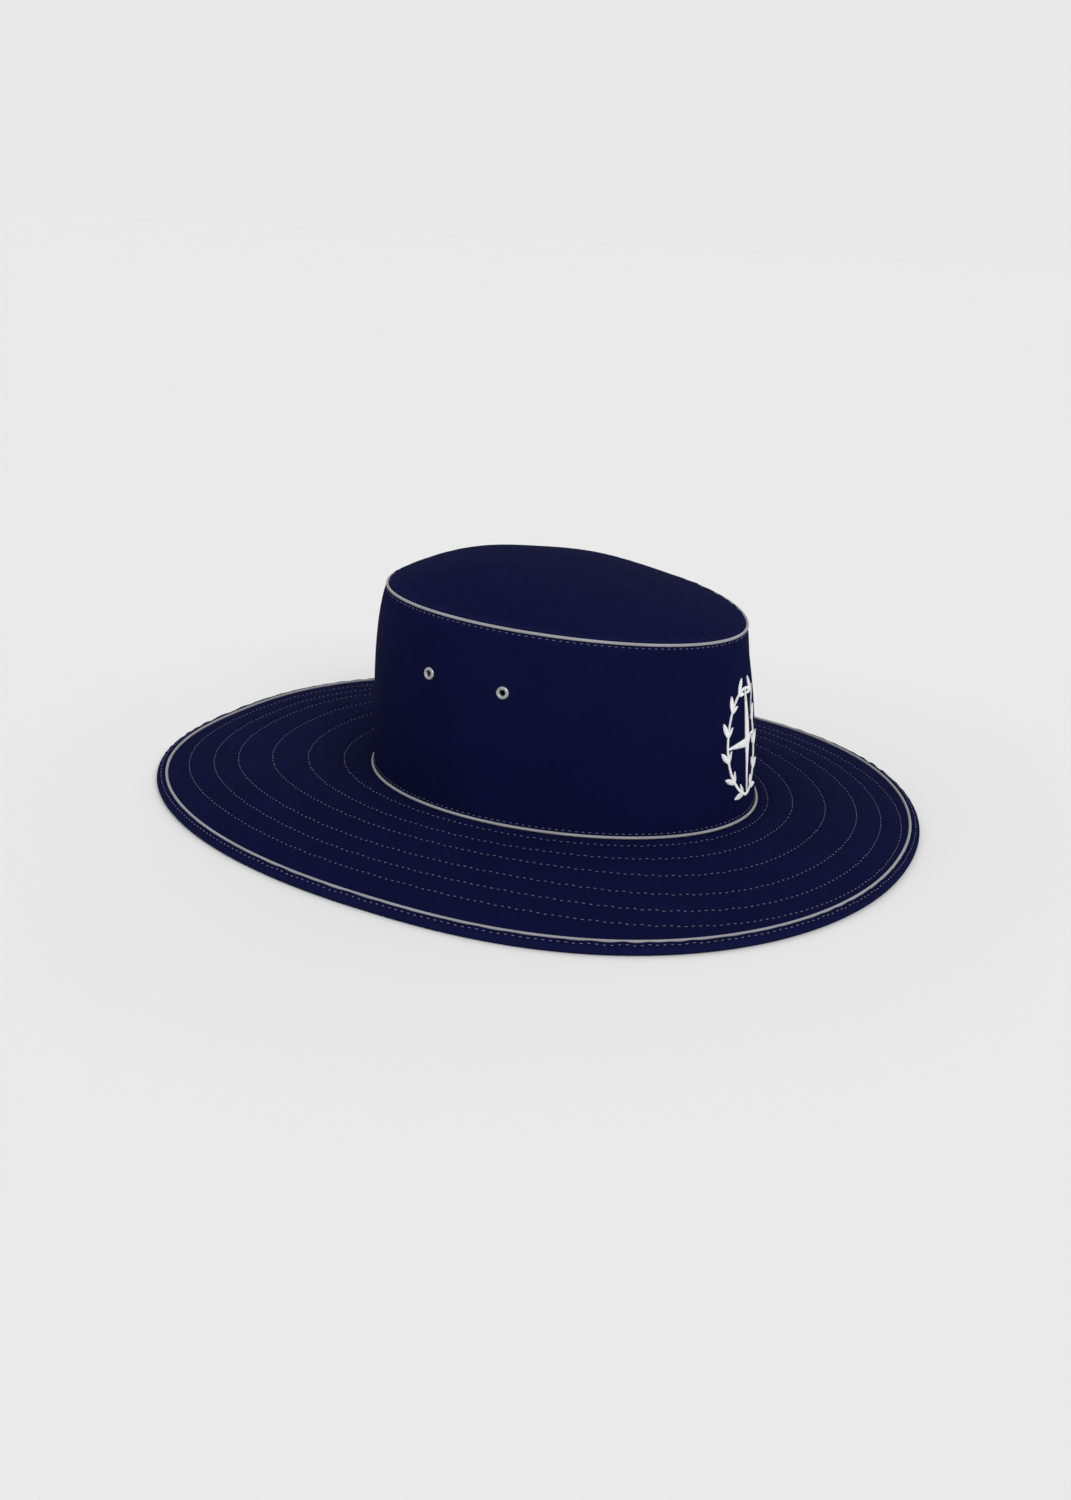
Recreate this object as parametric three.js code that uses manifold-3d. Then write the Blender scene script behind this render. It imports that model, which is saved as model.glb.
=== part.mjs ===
// A soft cotton wide-brim hat: a domed tip panel, a side band, a stitched brim,
// corded seams, a bound edge, four eyelets and an embroidered badge.
// Millimetres, +Z up, front towards +X, origin under the middle of the brim.
import * as THREE from 'three';
import { mergeVertices } from 'three/addons/utils/BufferGeometryUtils.js';
import Module from 'manifold-3d';

const wasm = await Module();
wasm.setup();

// Driving dimensions: the ovals in plan, half their length and half their width
const CROWN_FORWARD = 15.3;
const BRIM_OVAL = {
  middle: 0,
  half_length: 189.4,
  half_width: 162.8,
  taper: 0.09,
  fullness: 2.25,
  fullness_lean: -0.15,
};
const BASE_OVAL = {
  middle: CROWN_FORWARD,
  half_length: 97,
  half_width: 81.3,
  taper: -0.025,
  fullness: 1.97,
  fullness_lean: 0,
};
const TOP_OVAL = {
  middle: CROWN_FORWARD - 2.7,
  half_length: 87.8,
  half_width: 74.9,
  taper: -0.045,
  fullness: 1.94,
  fullness_lean: 0,
};

// Heights of the two crown seams, and how far each leans and waves round the hat
const BASE_SEAM = { height: 11.1, lean: 0, wave: -1.5 };
const TOP_SEAM = { height: 99.3, lean: -3, wave: -1.6 };

// Tip panel: rise of its dome, how the rise leans to the back, and how square the dome is
const DOME_RISE = 14;
const DOME_LEAN = 0.43;
const DOME_POWER = 2.6;
const TIP_LIFT = 0.5;

// Side band: the shoulder bulges out below the top seam, most at the back
const SHOULDER = { mean: 2.3, back: 2.1, low_power: 1.5, high_power: 0.85 };
const SHOULDER_PEAK = 0.215;

// Brim: it droops from the crown to the edge
const BRIM_DROOP = 1.83;

// Cloth, seams and trim
const CROWN_WALL = 1.6;
const BRIM_WALL = 2.0;
const SEAM_GAP = 0.3;
const BINDING_SKIN = 0.7;
const BINDING_WIDTH = 4.0;
const FOOT_REACH = 3.2;
const PIPING_RADIUS = 0.65;
const BAND_TOP_DROP = 1.2;
const TIP_INSET = 1.0;

// Eyelets: where each sits, by its angle round the crown and its height on the band
const EYELETS = [
  { name: 'eyelet_right_back', degrees: -109.3, height: 0.70 },
  { name: 'eyelet_right_front', degrees: -84.7, height: 0.69 },
  { name: 'eyelet_left_back', degrees: 109.3, height: 0.70 },
  { name: 'eyelet_left_front', degrees: 84.7, height: 0.69 },
];
const EYELET = { bore: 1.25, barrel: 1.75, flange: 2.9, flange_thickness: 0.5, hole: 2.1 };

// Badge: a compass star in a wreath, embroidered on the front of the side band
const BADGE = { mid_height: 45.2, lift: 0.3, thickness: 0.7, mm_per_radian: 79 };
const WREATH = { half_width: 17.5, half_height: 25, stem: 1.5 };
const LEAVES = { count: 6, length: 7.6, spread_degrees: 36 };
const LEAF_WIDTHS = { root: 0.8, middle: 3.2, tip: 0.4, middle_at: 0.45 };
const LEAF_RANGE = { first_degrees: 20, last_degrees: 158 };
const STAR_ARMS = [
  { degrees: 0, length: 17.6, width: 4.6 },
  { degrees: 90, length: 25.1, width: 5.2 },
  { degrees: 180, length: 17.6, width: 4.6 },
  { degrees: 270, length: 25.1, width: 5.2 },
];
const STAR_ROWS = [0, 0.5, 1];
const STAR_TIP_SHARE = 0.2;

// Mesh fineness
const SEGMENTS = 60;
const BAND_ROWS = [0, 0.16, 0.36, 0.56, 0.73, 0.86, 0.94, 1];
const BRIM_ROWS = [0, 0.17, 0.34, 0.51, 0.68, 0.84, 1];
const DOME_ROWS = [1, 0.94, 0.84, 0.68, 0.48, 0.25];
const PIPING_SIDES = 6;
const EYELET_SIDES = 12;
const WREATH_STEPS = 32;

// Colours
const CLOTH = { color: 0x101334, roughness: 0.88, metalness: 0 };
const CORD = { color: 0x98989c, roughness: 0.75, metalness: 0 };
const METAL = { color: 0xaaacae, roughness: 0.35, metalness: 0.9 };
const THREAD = { color: 0xf4f4f4, roughness: 0.6, metalness: 0 };

function radians(degrees) {
  return degrees * Math.PI / 180;
}

// A cosine or sine pulled towards a square, which makes a circle a fuller or leaner oval
function squared(value, fullness) {
  return Math.sign(value) * Math.abs(value) ** (2 / fullness);
}

// A point on an oval at an angle from the front
function ovalPoint(oval, angle) {
  const forward = Math.cos(angle);
  const fullness = oval.fullness + oval.fullness_lean * forward;
  const x = oval.middle + oval.half_length * squared(forward, fullness);
  const width = oval.half_width * (1 + oval.taper * forward);
  return new THREE.Vector2(x, width * squared(Math.sin(angle), fullness));
}

// The direction out of an oval at an angle
function ovalOut(oval, angle) {
  const step = 0.01;
  const along = ovalPoint(oval, angle + step).sub(ovalPoint(oval, angle - step)).normalize();
  return new THREE.Vector2(along.y, -along.x);
}

// A point a given distance outside an oval
function outsideOval(oval, angle, distance) {
  return ovalPoint(oval, angle).addScaledVector(ovalOut(oval, angle), distance);
}

function seamHeight(seam, angle) {
  return seam.height + seam.lean * Math.cos(angle) + seam.wave * Math.cos(2 * angle);
}

// How far the shoulder stands out of the straight line between the two seams
function shoulderBulge(angle, height) {
  const profile = height ** SHOULDER.low_power * (1 - height) ** SHOULDER.high_power;
  return (SHOULDER.mean - SHOULDER.back * Math.cos(angle)) * profile / SHOULDER_PEAK;
}

// A point on the outer face of the side band: height 0 is the base seam, 1 the top seam
function bandFace(angle, height) {
  const low = ovalPoint(BASE_OVAL, angle);
  const high = ovalPoint(TOP_OVAL, angle);
  const bulge = shoulderBulge(angle, height);
  const plan = low.lerp(high, height).addScaledVector(ovalOut(BASE_OVAL, angle), bulge);
  const z = THREE.MathUtils.lerp(seamHeight(BASE_SEAM, angle), seamHeight(TOP_SEAM, angle), height);
  return new THREE.Vector3(plan.x, plan.y, z);
}

// The direction out of the side band
function bandOut(angle, height) {
  const step = 0.004;
  const round = bandFace(angle + step, height).sub(bandFace(angle - step, height));
  const low = Math.max(height - step, 0);
  const high = Math.min(height + step, 1 - step);
  const up = bandFace(angle, high).sub(bandFace(angle, low));
  return round.cross(up).normalize();
}

// A point lifted off the side band's outer face
function bandPoint(angle, height, lift) {
  return bandFace(angle, height).addScaledVector(bandOut(angle, height), lift);
}

// The plan of the brim cloth's outer edge, inside the binding
function brimEdge(angle) {
  return outsideOval(BRIM_OVAL, angle, -(BINDING_SKIN + SEAM_GAP));
}

const BRIM_EDGE_TOP = BINDING_SKIN + SEAM_GAP + BRIM_WALL;

// The height of the brim's upper face: share 0 is at the crown, 1 at the edge
function brimHeight(angle, share) {
  const drop = Math.max(share, 0) ** BRIM_DROOP;
  return THREE.MathUtils.lerp(seamHeight(BASE_SEAM, angle), BRIM_EDGE_TOP, drop);
}

// A point on the brim's upper face, or below it by a drop
function brimPoint(angle, share, drop = 0) {
  const plan = ovalPoint(BASE_OVAL, angle).lerp(brimEdge(angle), share);
  return new THREE.Vector3(plan.x, plan.y, brimHeight(angle, share) - drop);
}

// The height of the brim's upper face, a distance inside the finished outer edge
function brimHeightInside(angle, distance) {
  const width = ovalPoint(BASE_OVAL, angle).distanceTo(brimEdge(angle));
  return brimHeight(angle, 1 - Math.max(distance - BINDING_SKIN - SEAM_GAP, 0) / width);
}

// A point on the tip panel's outer face: reach 1 is the top seam, 0 the middle
function tipPoint(angle, reach, drop = 0) {
  const rim = outsideOval(TOP_OVAL, angle, -TIP_INSET * reach);
  const plan = new THREE.Vector2(TOP_OVAL.middle, 0).lerp(rim, reach);
  const forward = reach * Math.cos(angle);
  const share = reach * (1 - TIP_INSET / TOP_OVAL.half_width);
  const dome = DOME_RISE * (1 - share ** DOME_POWER) * (1 - DOME_LEAN * forward);
  const seam = TOP_SEAM.height + TOP_SEAM.lean * forward + TOP_SEAM.wave * Math.cos(2 * angle) * reach ** 2;
  return new THREE.Vector3(plan.x, plan.y, seam + dome + TIP_LIFT - drop);
}

// Six times the volume, which is negative where the faces point inwards
function signedVolume(points, triangles) {
  let total = 0;
  for (let i = 0; i < triangles.length; i += 3) {
    const [a, b, c] = [points[triangles[i]], points[triangles[i + 1]], points[triangles[i + 2]]];
    total += a.dot(b.clone().cross(c));
  }
  return total;
}

// A geometry from shared points and triangles, with its faces turned outwards
function closedGeometry(points, triangles) {
  const turned = signedVolume(points, triangles) < 0 ? triangles.slice().reverse() : triangles;
  const geometry = new THREE.BufferGeometry();
  const positions = points.flatMap((point) => [point.x, point.y, point.z]);
  geometry.setAttribute('position', new THREE.Float32BufferAttribute(positions, 3));
  geometry.setIndex(turned);
  return geometry;
}

// A solid that goes round the hat: section gives the points round the cut face at an angle.
// With caps, the section is an open line whose two ends are single points on the axis.
function ringGeometry(section, caps = null) {
  const points = [];
  const triangles = [];
  const count = section(0).length;
  for (let k = 0; k < SEGMENTS; k += 1) {
    points.push(...section(2 * Math.PI * k / SEGMENTS));
  }
  for (let k = 0; k < SEGMENTS; k += 1) {
    const here = k * count;
    const next = ((k + 1) % SEGMENTS) * count;
    const rows = caps ? count - 1 : count;
    for (let j = 0; j < rows; j += 1) {
      const up = (j + 1) % count;
      triangles.push(here + j, next + j, next + up);
      triangles.push(here + j, next + up, here + up);
    }
    if (caps) {
      const first = SEGMENTS * count;
      triangles.push(first, next, here);
      triangles.push(first + 1, here + count - 1, next + count - 1);
    }
  }
  return closedGeometry(caps ? [...points, ...caps] : points, triangles);
}

// A cord that follows a line round the hat
function cordGeometry(centre) {
  return ringGeometry((angle) => {
    const middle = centre(angle);
    const out = ovalOut(BASE_OVAL, angle);
    const turns = Array.from({ length: PIPING_SIDES }, (_, i) => 2 * Math.PI * i / PIPING_SIDES);
    return turns.map((turn) => new THREE.Vector3(
      middle.x + out.x * PIPING_RADIUS * Math.cos(turn),
      middle.y + out.y * PIPING_RADIUS * Math.cos(turn),
      middle.z + PIPING_RADIUS * Math.sin(turn),
    ));
  });
}

// Turns a closed geometry into a solid that can be cut and joined
function toSolid(geometry) {
  const bare = geometry.clone();
  bare.deleteAttribute('normal');
  bare.deleteAttribute('uv');
  const merged = mergeVertices(bare);
  return new wasm.Manifold(new wasm.Mesh({
    numProp: 3,
    vertProperties: new Float32Array(merged.attributes.position.array),
    triVerts: new Uint32Array(merged.index.array),
  }));
}

function fromSolid(solid) {
  const mesh = solid.getMesh();
  const geometry = new THREE.BufferGeometry();
  geometry.setAttribute('position', new THREE.Float32BufferAttribute(mesh.vertProperties, 3));
  geometry.setIndex(Array.from(mesh.triVerts));
  return geometry;
}

// Side band: a tube of cloth, with a hole punched for each eyelet
function sideBandGeometry() {
  const tube = ringGeometry((angle) => {
    const seam = seamHeight(TOP_SEAM, angle) - seamHeight(BASE_SEAM, angle);
    const low = SEAM_GAP / seam;
    const high = 1 - BAND_TOP_DROP / seam;
    const heights = BAND_ROWS.map((row) => THREE.MathUtils.lerp(low, high, row));
    const outer = heights.map((height) => bandPoint(angle, height, 0));
    const inner = heights.map((height) => bandPoint(angle, height, -CROWN_WALL));
    return [...outer, ...inner.reverse()];
  });
  let solid = toSolid(tube);
  for (const eyelet of EYELETS) {
    const punch = new THREE.CylinderGeometry(EYELET.hole, EYELET.hole, 4 * CROWN_WALL, EYELET_SIDES);
    solid = solid.subtract(toSolid(placeOnBand(punch, radians(eyelet.degrees), eyelet.height)));
  }
  return fromSolid(solid);
}

// Turns a geometry's own +Y to point out of the side band, and moves it there
function placeOnBand(geometry, angle, height) {
  const turn = new THREE.Quaternion().setFromUnitVectors(new THREE.Vector3(0, 1, 0), bandOut(angle, height));
  const place = bandFace(angle, height);
  return geometry.clone().applyQuaternion(turn).translate(place.x, place.y, place.z);
}

function tipGeometry() {
  const outer = DOME_ROWS.slice().reverse();
  const caps = [tipPoint(0, 0), tipPoint(0, 0, CROWN_WALL)];
  return ringGeometry((angle) => [
    ...outer.map((reach) => tipPoint(angle, reach)),
    ...DOME_ROWS.map((reach) => tipPoint(angle, reach, CROWN_WALL)),
  ], caps);
}

// Brim: one stitched sheet from under the side band to the inside of the binding
function brimGeometry() {
  return ringGeometry((angle) => {
    const inside = outsideOval(BASE_OVAL, angle, -CROWN_WALL);
    const seam = seamHeight(BASE_SEAM, angle);
    return [
      new THREE.Vector3(inside.x, inside.y, seam),
      ...BRIM_ROWS.map((share) => brimPoint(angle, share)),
      ...BRIM_ROWS.slice().reverse().map((share) => brimPoint(angle, share, BRIM_WALL)),
      new THREE.Vector3(inside.x, inside.y, seam - BRIM_WALL),
    ];
  });
}

// Binding: a tape folded round the edge, with a flat foot under it
function bindingGeometry() {
  const top = SEAM_GAP + BINDING_SKIN;
  const foot = BRIM_WALL + SEAM_GAP + BINDING_SKIN;
  const rows = [
    { inward: BINDING_WIDTH, above: top, sloped: true },
    { inward: 3, above: top, sloped: true },
    { inward: 1.3, above: top, sloped: true },
    { inward: 0.4, above: top - 0.8, sloped: true },
    { inward: 0, above: -BRIM_WALL / 2, sloped: false },
    { inward: 0.4, above: 0.8 - foot, sloped: false },
    { inward: 1.3, above: -foot, sloped: false },
    { inward: FOOT_REACH, above: -foot, sloped: false },
    { inward: BINDING_WIDTH, above: -foot, sloped: true },
    { inward: BINDING_WIDTH, above: BINDING_SKIN - foot, sloped: true },
    { inward: FOOT_REACH, above: BINDING_SKIN - foot, sloped: false },
    { inward: BINDING_SKIN, above: BINDING_SKIN - foot, sloped: false },
    { inward: BINDING_SKIN, above: SEAM_GAP, sloped: false },
    { inward: 3, above: SEAM_GAP, sloped: true },
    { inward: BINDING_WIDTH, above: SEAM_GAP, sloped: true },
  ];
  return ringGeometry((angle) => rows.map((row) => {
    const plan = outsideOval(BRIM_OVAL, angle, -row.inward);
    const level = row.sloped ? brimHeightInside(angle, row.inward) : BRIM_EDGE_TOP;
    return new THREE.Vector3(plan.x, plan.y, level + row.above);
  }));
}

// The corded seams
function topPipingGeometry() {
  return cordGeometry((angle) => {
    const plan = ovalPoint(TOP_OVAL, angle);
    return new THREE.Vector3(plan.x, plan.y, seamHeight(TOP_SEAM, angle));
  });
}

function basePipingGeometry() {
  const clear = PIPING_RADIUS + SEAM_GAP;
  return cordGeometry((angle) => {
    const plan = outsideOval(BASE_OVAL, angle, clear);
    return new THREE.Vector3(plan.x, plan.y, seamHeight(BASE_SEAM, angle) + clear);
  });
}

function bindingPipingGeometry() {
  const clear = PIPING_RADIUS + SEAM_GAP;
  const inward = BINDING_WIDTH + clear;
  return cordGeometry((angle) => {
    const plan = outsideOval(BRIM_OVAL, angle, -inward);
    return new THREE.Vector3(plan.x, plan.y, brimHeightInside(angle, inward) + clear);
  });
}

// Eyelet: a rolled flange on each face of the cloth, and a barrel through the hole
function eyeletGeometry() {
  const rest = SEAM_GAP + 0.1;
  const back = -CROWN_WALL - rest;
  const profile = [
    [EYELET.bore, rest + EYELET.flange_thickness],
    [(EYELET.bore + EYELET.flange) / 2, rest + 1.4 * EYELET.flange_thickness],
    [EYELET.flange, rest + 0.3],
    [EYELET.flange, rest],
    [EYELET.barrel, rest],
    [EYELET.barrel, back],
    [EYELET.flange, back],
    [EYELET.flange, back - 0.3],
    [EYELET.bore, back - EYELET.flange_thickness],
    [EYELET.bore, rest + EYELET.flange_thickness],
  ];
  return new THREE.LatheGeometry(profile.map(([r, y]) => new THREE.Vector2(r, y)).reverse(), EYELET_SIDES);
}

// A flat strip of embroidery on the front of the side band.
// Stations hold a place across and up the badge, in millimetres, and the strip's width there.
function embroideredStrip(stations, closed = false) {
  const points = [];
  const triangles = [];
  const count = stations.length;
  stations.forEach((station, i) => {
    const before = stations[closed ? (i + count - 1) % count : Math.max(i - 1, 0)];
    const after = stations[closed ? (i + 1) % count : Math.min(i + 1, count - 1)];
    const along = new THREE.Vector2(after.across - before.across, after.up - before.up).normalize();
    for (const [side, lift] of [[1, 0], [-1, 0], [-1, 1], [1, 1]]) {
      const across = station.across - along.y * side * station.width / 2;
      const up = station.up + along.x * side * station.width / 2;
      points.push(badgePoint(across, up, BADGE.lift + lift * BADGE.thickness));
    }
  });
  for (let i = 0; i < (closed ? count : count - 1); i += 1) {
    const here = 4 * i;
    const next = 4 * ((i + 1) % count);
    for (let j = 0; j < 4; j += 1) {
      const up = (j + 1) % 4;
      triangles.push(here + j, next + j, next + up);
      triangles.push(here + j, next + up, here + up);
    }
  }
  if (!closed) {
    const last = 4 * (count - 1);
    triangles.push(0, 1, 2, 0, 2, 3);
    triangles.push(last, last + 2, last + 1, last, last + 3, last + 2);
  }
  return closedGeometry(points, triangles);
}

// A point of the badge: across to the wearer's left, up from the badge's middle
function badgePoint(across, up, lift) {
  const angle = across / BADGE.mm_per_radian;
  const low = seamHeight(BASE_SEAM, angle);
  const height = (BADGE.mid_height + up - low) / (seamHeight(TOP_SEAM, angle) - low);
  return bandPoint(angle, height, lift);
}

function wreathPlace(turn) {
  return { across: WREATH.half_width * Math.sin(turn), up: -WREATH.half_height * Math.cos(turn) };
}

// One leaf that grows from the stem of the wreath, pointing up the stem and off to one side
function leafStrip(turn, mirror) {
  const root = wreathPlace(turn);
  const ahead = wreathPlace(turn + radians(3));
  const stem = Math.atan2(ahead.up - root.up, ahead.across - root.across);
  const heading = stem - radians(LEAVES.spread_degrees);
  const place = (share, width) => ({
    across: mirror * (root.across + Math.cos(heading) * LEAVES.length * share),
    up: root.up + Math.sin(heading) * LEAVES.length * share,
    width,
  });
  return embroideredStrip([
    place(0, LEAF_WIDTHS.root),
    place(LEAF_WIDTHS.middle_at, LEAF_WIDTHS.middle),
    place(1, LEAF_WIDTHS.tip),
  ]);
}

// Badge: the wreath's stem, its leaves and the star, joined into one piece
function badgeGeometry() {
  const stem = Array.from({ length: WREATH_STEPS }, (_, i) => {
    return { ...wreathPlace(2 * Math.PI * i / WREATH_STEPS), width: WREATH.stem };
  });
  let solid = toSolid(embroideredStrip(stem, true));
  for (const arm of STAR_ARMS) {
    const heading = radians(arm.degrees);
    const stations = STAR_ROWS.map((share) => ({
      across: Math.cos(heading) * arm.length * share,
      up: Math.sin(heading) * arm.length * share,
      width: arm.width * (1 + STAR_TIP_SHARE - share),
    }));
    solid = solid.add(toSolid(embroideredStrip(stations)));
  }
  for (let i = 0; i < LEAVES.count; i += 1) {
    const share = i / (LEAVES.count - 1);
    const turn = radians(THREE.MathUtils.lerp(LEAF_RANGE.first_degrees, LEAF_RANGE.last_degrees, share));
    solid = solid.add(toSolid(leafStrip(turn, 1)));
    solid = solid.add(toSolid(leafStrip(turn, -1)));
  }
  return fromSolid(solid);
}

function piece(name, geometry, finish) {
  const mesh = new THREE.Mesh(geometry, new THREE.MeshStandardMaterial(finish));
  mesh.name = name;
  return mesh;
}

function buildHat() {
  const hat = new THREE.Group();
  hat.add(piece('crown_tip', tipGeometry(), CLOTH));
  hat.add(piece('crown_side_band', sideBandGeometry(), CLOTH));
  hat.add(piece('brim', brimGeometry(), CLOTH));
  hat.add(piece('brim_binding', bindingGeometry(), CLOTH));
  hat.add(piece('top_piping', topPipingGeometry(), CORD));
  hat.add(piece('base_piping', basePipingGeometry(), CORD));
  hat.add(piece('binding_piping', bindingPipingGeometry(), CORD));
  for (const eyelet of EYELETS) {
    const ring = placeOnBand(eyeletGeometry(), radians(eyelet.degrees), eyelet.height);
    hat.add(piece(eyelet.name, ring, METAL));
  }
  hat.add(piece('front_badge', badgeGeometry(), THREAD));
  return hat;
}

export default buildHat();
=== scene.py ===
"""A navy cotton wide-brim hat: domed tip, side band, row-stitched brim, piped seams and a badge.

Everything is in metres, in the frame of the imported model: +X towards the front of the hat,
+Y towards the wearer's left, +Z up, with the origin on the table under the middle of the brim.
Angles round the hat are in radians, from its front towards the wearer's left. A share runs from
0 to 1 across a panel.
"""

import logging
import math
from dataclasses import dataclass, field
from enum import Enum
from functools import partial
from typing import Callable, Sequence

import bmesh
import bpy
import numpy as np
from mathutils import Matrix, Vector


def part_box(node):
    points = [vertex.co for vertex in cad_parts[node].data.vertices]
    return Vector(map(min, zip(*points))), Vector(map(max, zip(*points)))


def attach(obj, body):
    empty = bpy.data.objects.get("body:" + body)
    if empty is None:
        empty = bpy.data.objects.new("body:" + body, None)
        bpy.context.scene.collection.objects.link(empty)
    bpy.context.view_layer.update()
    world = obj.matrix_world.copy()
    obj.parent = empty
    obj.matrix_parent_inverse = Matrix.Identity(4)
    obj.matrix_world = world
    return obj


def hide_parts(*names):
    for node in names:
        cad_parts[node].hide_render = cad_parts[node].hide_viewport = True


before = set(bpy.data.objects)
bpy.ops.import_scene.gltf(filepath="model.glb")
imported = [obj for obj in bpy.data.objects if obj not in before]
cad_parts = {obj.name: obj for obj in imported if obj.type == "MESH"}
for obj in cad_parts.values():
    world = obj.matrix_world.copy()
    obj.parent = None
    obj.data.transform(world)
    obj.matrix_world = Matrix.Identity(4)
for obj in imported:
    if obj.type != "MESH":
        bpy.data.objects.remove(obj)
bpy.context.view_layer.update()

MM = 0.001
MM_TO_THE_METRE = 1000.0
TURN = 2 * math.pi
BODY = "root"
Array = np.ndarray
Number = Array | float
Surface = Callable[[Array, Array], Array]
Colour = tuple[float, float, float, float]
BLACK: Colour = (0.0, 0.0, 0.0, 1.0)
WHITE: Colour = (1.0, 1.0, 1.0, 1.0)
log = logging.getLogger("hat")


def squared(value: Array, fullness: Array) -> Array:
    """Pulls a cosine or sine towards a square, which makes a circle a fuller or leaner oval."""
    return np.sign(value) * np.abs(value) ** (2 / fullness)


def unit(vectors: Array) -> Array:
    """Scales vectors to length one."""
    return vectors / np.linalg.norm(vectors, axis=-1, keepdims=True)


def mix(low: Number, high: Number, share: Number) -> Number:
    """Goes from low to high as share goes from 0 to 1."""
    return low + (high - low) * share


def once_round(count: int) -> Array:
    """Gives evenly spaced angles, once round."""
    return np.linspace(0, TURN, count, endpoint=False)


def raised(plan: Array, height: Array) -> Array:
    """Puts places in plan at their heights."""
    return np.concatenate([plan, height[..., None]], axis=-1)


def wrapped(grid: Array) -> Array:
    """Repeats a grid's first row after its last row, and its first column after its last."""
    grid = np.concatenate([grid, grid[:1]], axis=0)
    return np.concatenate([grid, grid[:, :1]], axis=1)


def normal_of(surface: Surface, angle: Array, share: Array, step: float = 0.002) -> Array:
    """Works out the direction that a surface faces.

    Args:
        surface: Gives points for angles round the hat and shares from 0 to 1.
        angle: The angles.
        share: The shares.
        step: The half distance between the points compared.

    Returns:
        Unit vectors, one for each angle and share.
    """
    end = 0.1 * step
    along = surface(angle + step, share) - surface(angle - step, share)
    high = np.minimum(share + step, 1 - end)
    low = np.maximum(share - step, end)
    up = surface(angle, high) - surface(angle, low)
    return unit(np.cross(along, up))


@dataclass(frozen=True)
class Oval:
    """An oval in plan, fuller or leaner than an ellipse, wider in front or behind."""

    middle: float
    half_length: float
    half_width: float
    taper: float
    fullness: float
    fullness_lean: float = 0.0

    def point(self, angle: Array) -> Array:
        """Works out points of the oval.

        Args:
            angle: Angles from the front.

        Returns:
            Places in plan, one for each angle.
        """
        forward = np.cos(angle)
        fullness = self.fullness + self.fullness_lean * forward
        x = self.middle + self.half_length * squared(forward, fullness)
        y = self.half_width * (1 + self.taper * forward) * squared(np.sin(angle), fullness)
        return np.stack([x, y], axis=-1)

    def out(self, angle: Array) -> Array:
        """Works out the directions straight out of the oval.

        Args:
            angle: Angles from the front.

        Returns:
            Unit vectors in plan, one for each angle.
        """
        step = 0.01
        along = unit(self.point(angle + step) - self.point(angle - step))
        return np.stack([along[..., 1], -along[..., 0]], axis=-1)

    def outside(self, angle: Array, distance: Number) -> Array:
        """Gives points a distance outside the oval, or inside it if the distance is negative."""
        return self.point(angle) + self.out(angle) * np.asarray(distance)[..., None]

    def girth(self, rounds: int) -> Array:
        """Measures the way round the oval.

        Args:
            rounds: The number of evenly spaced angles.

        Returns:
            The length walked at each angle, and at the end of the whole round.
        """
        points = self.point(np.linspace(0, TURN, rounds + 1))
        steps = np.linalg.norm(np.diff(points, axis=0), axis=1)
        return np.concatenate([[0.0], np.cumsum(steps)])


@dataclass(frozen=True)
class Seam:
    """The height of a seam that goes round the hat, with its lean and its wave."""

    height: float
    lean: float
    wave: float

    def at(self, angle: Array) -> Array:
        """Gives the seam's height at angles from the front."""
        return self.height + self.lean * np.cos(angle) + self.wave * np.cos(2 * angle)


@dataclass(frozen=True)
class Waves:
    """A smooth wander round the hat: sine waves with fixed random phases, with size as their RMS."""

    lowest: int
    highest: int
    size: float
    seed: int
    weakest: float = 0.4

    def at(self, angle: Array) -> Array:
        """Adds up the waves.

        Args:
            angle: Angles from the front.

        Returns:
            The wander at each angle, in the units of its size.
        """
        draw = np.random.default_rng(self.seed)
        counts = np.arange(self.lowest, self.highest + 1)
        phases = draw.uniform(0, TURN, len(counts))
        weights = draw.uniform(self.weakest, 1.0, len(counts))
        weights /= math.sqrt(float(np.sum(weights**2)) / 2)
        total = np.zeros_like(np.asarray(angle, dtype=float))
        for count, phase, weight in zip(counts, phases, weights):
            total = total + weight * np.sin(count * angle + phase)
        return self.size * total


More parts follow.
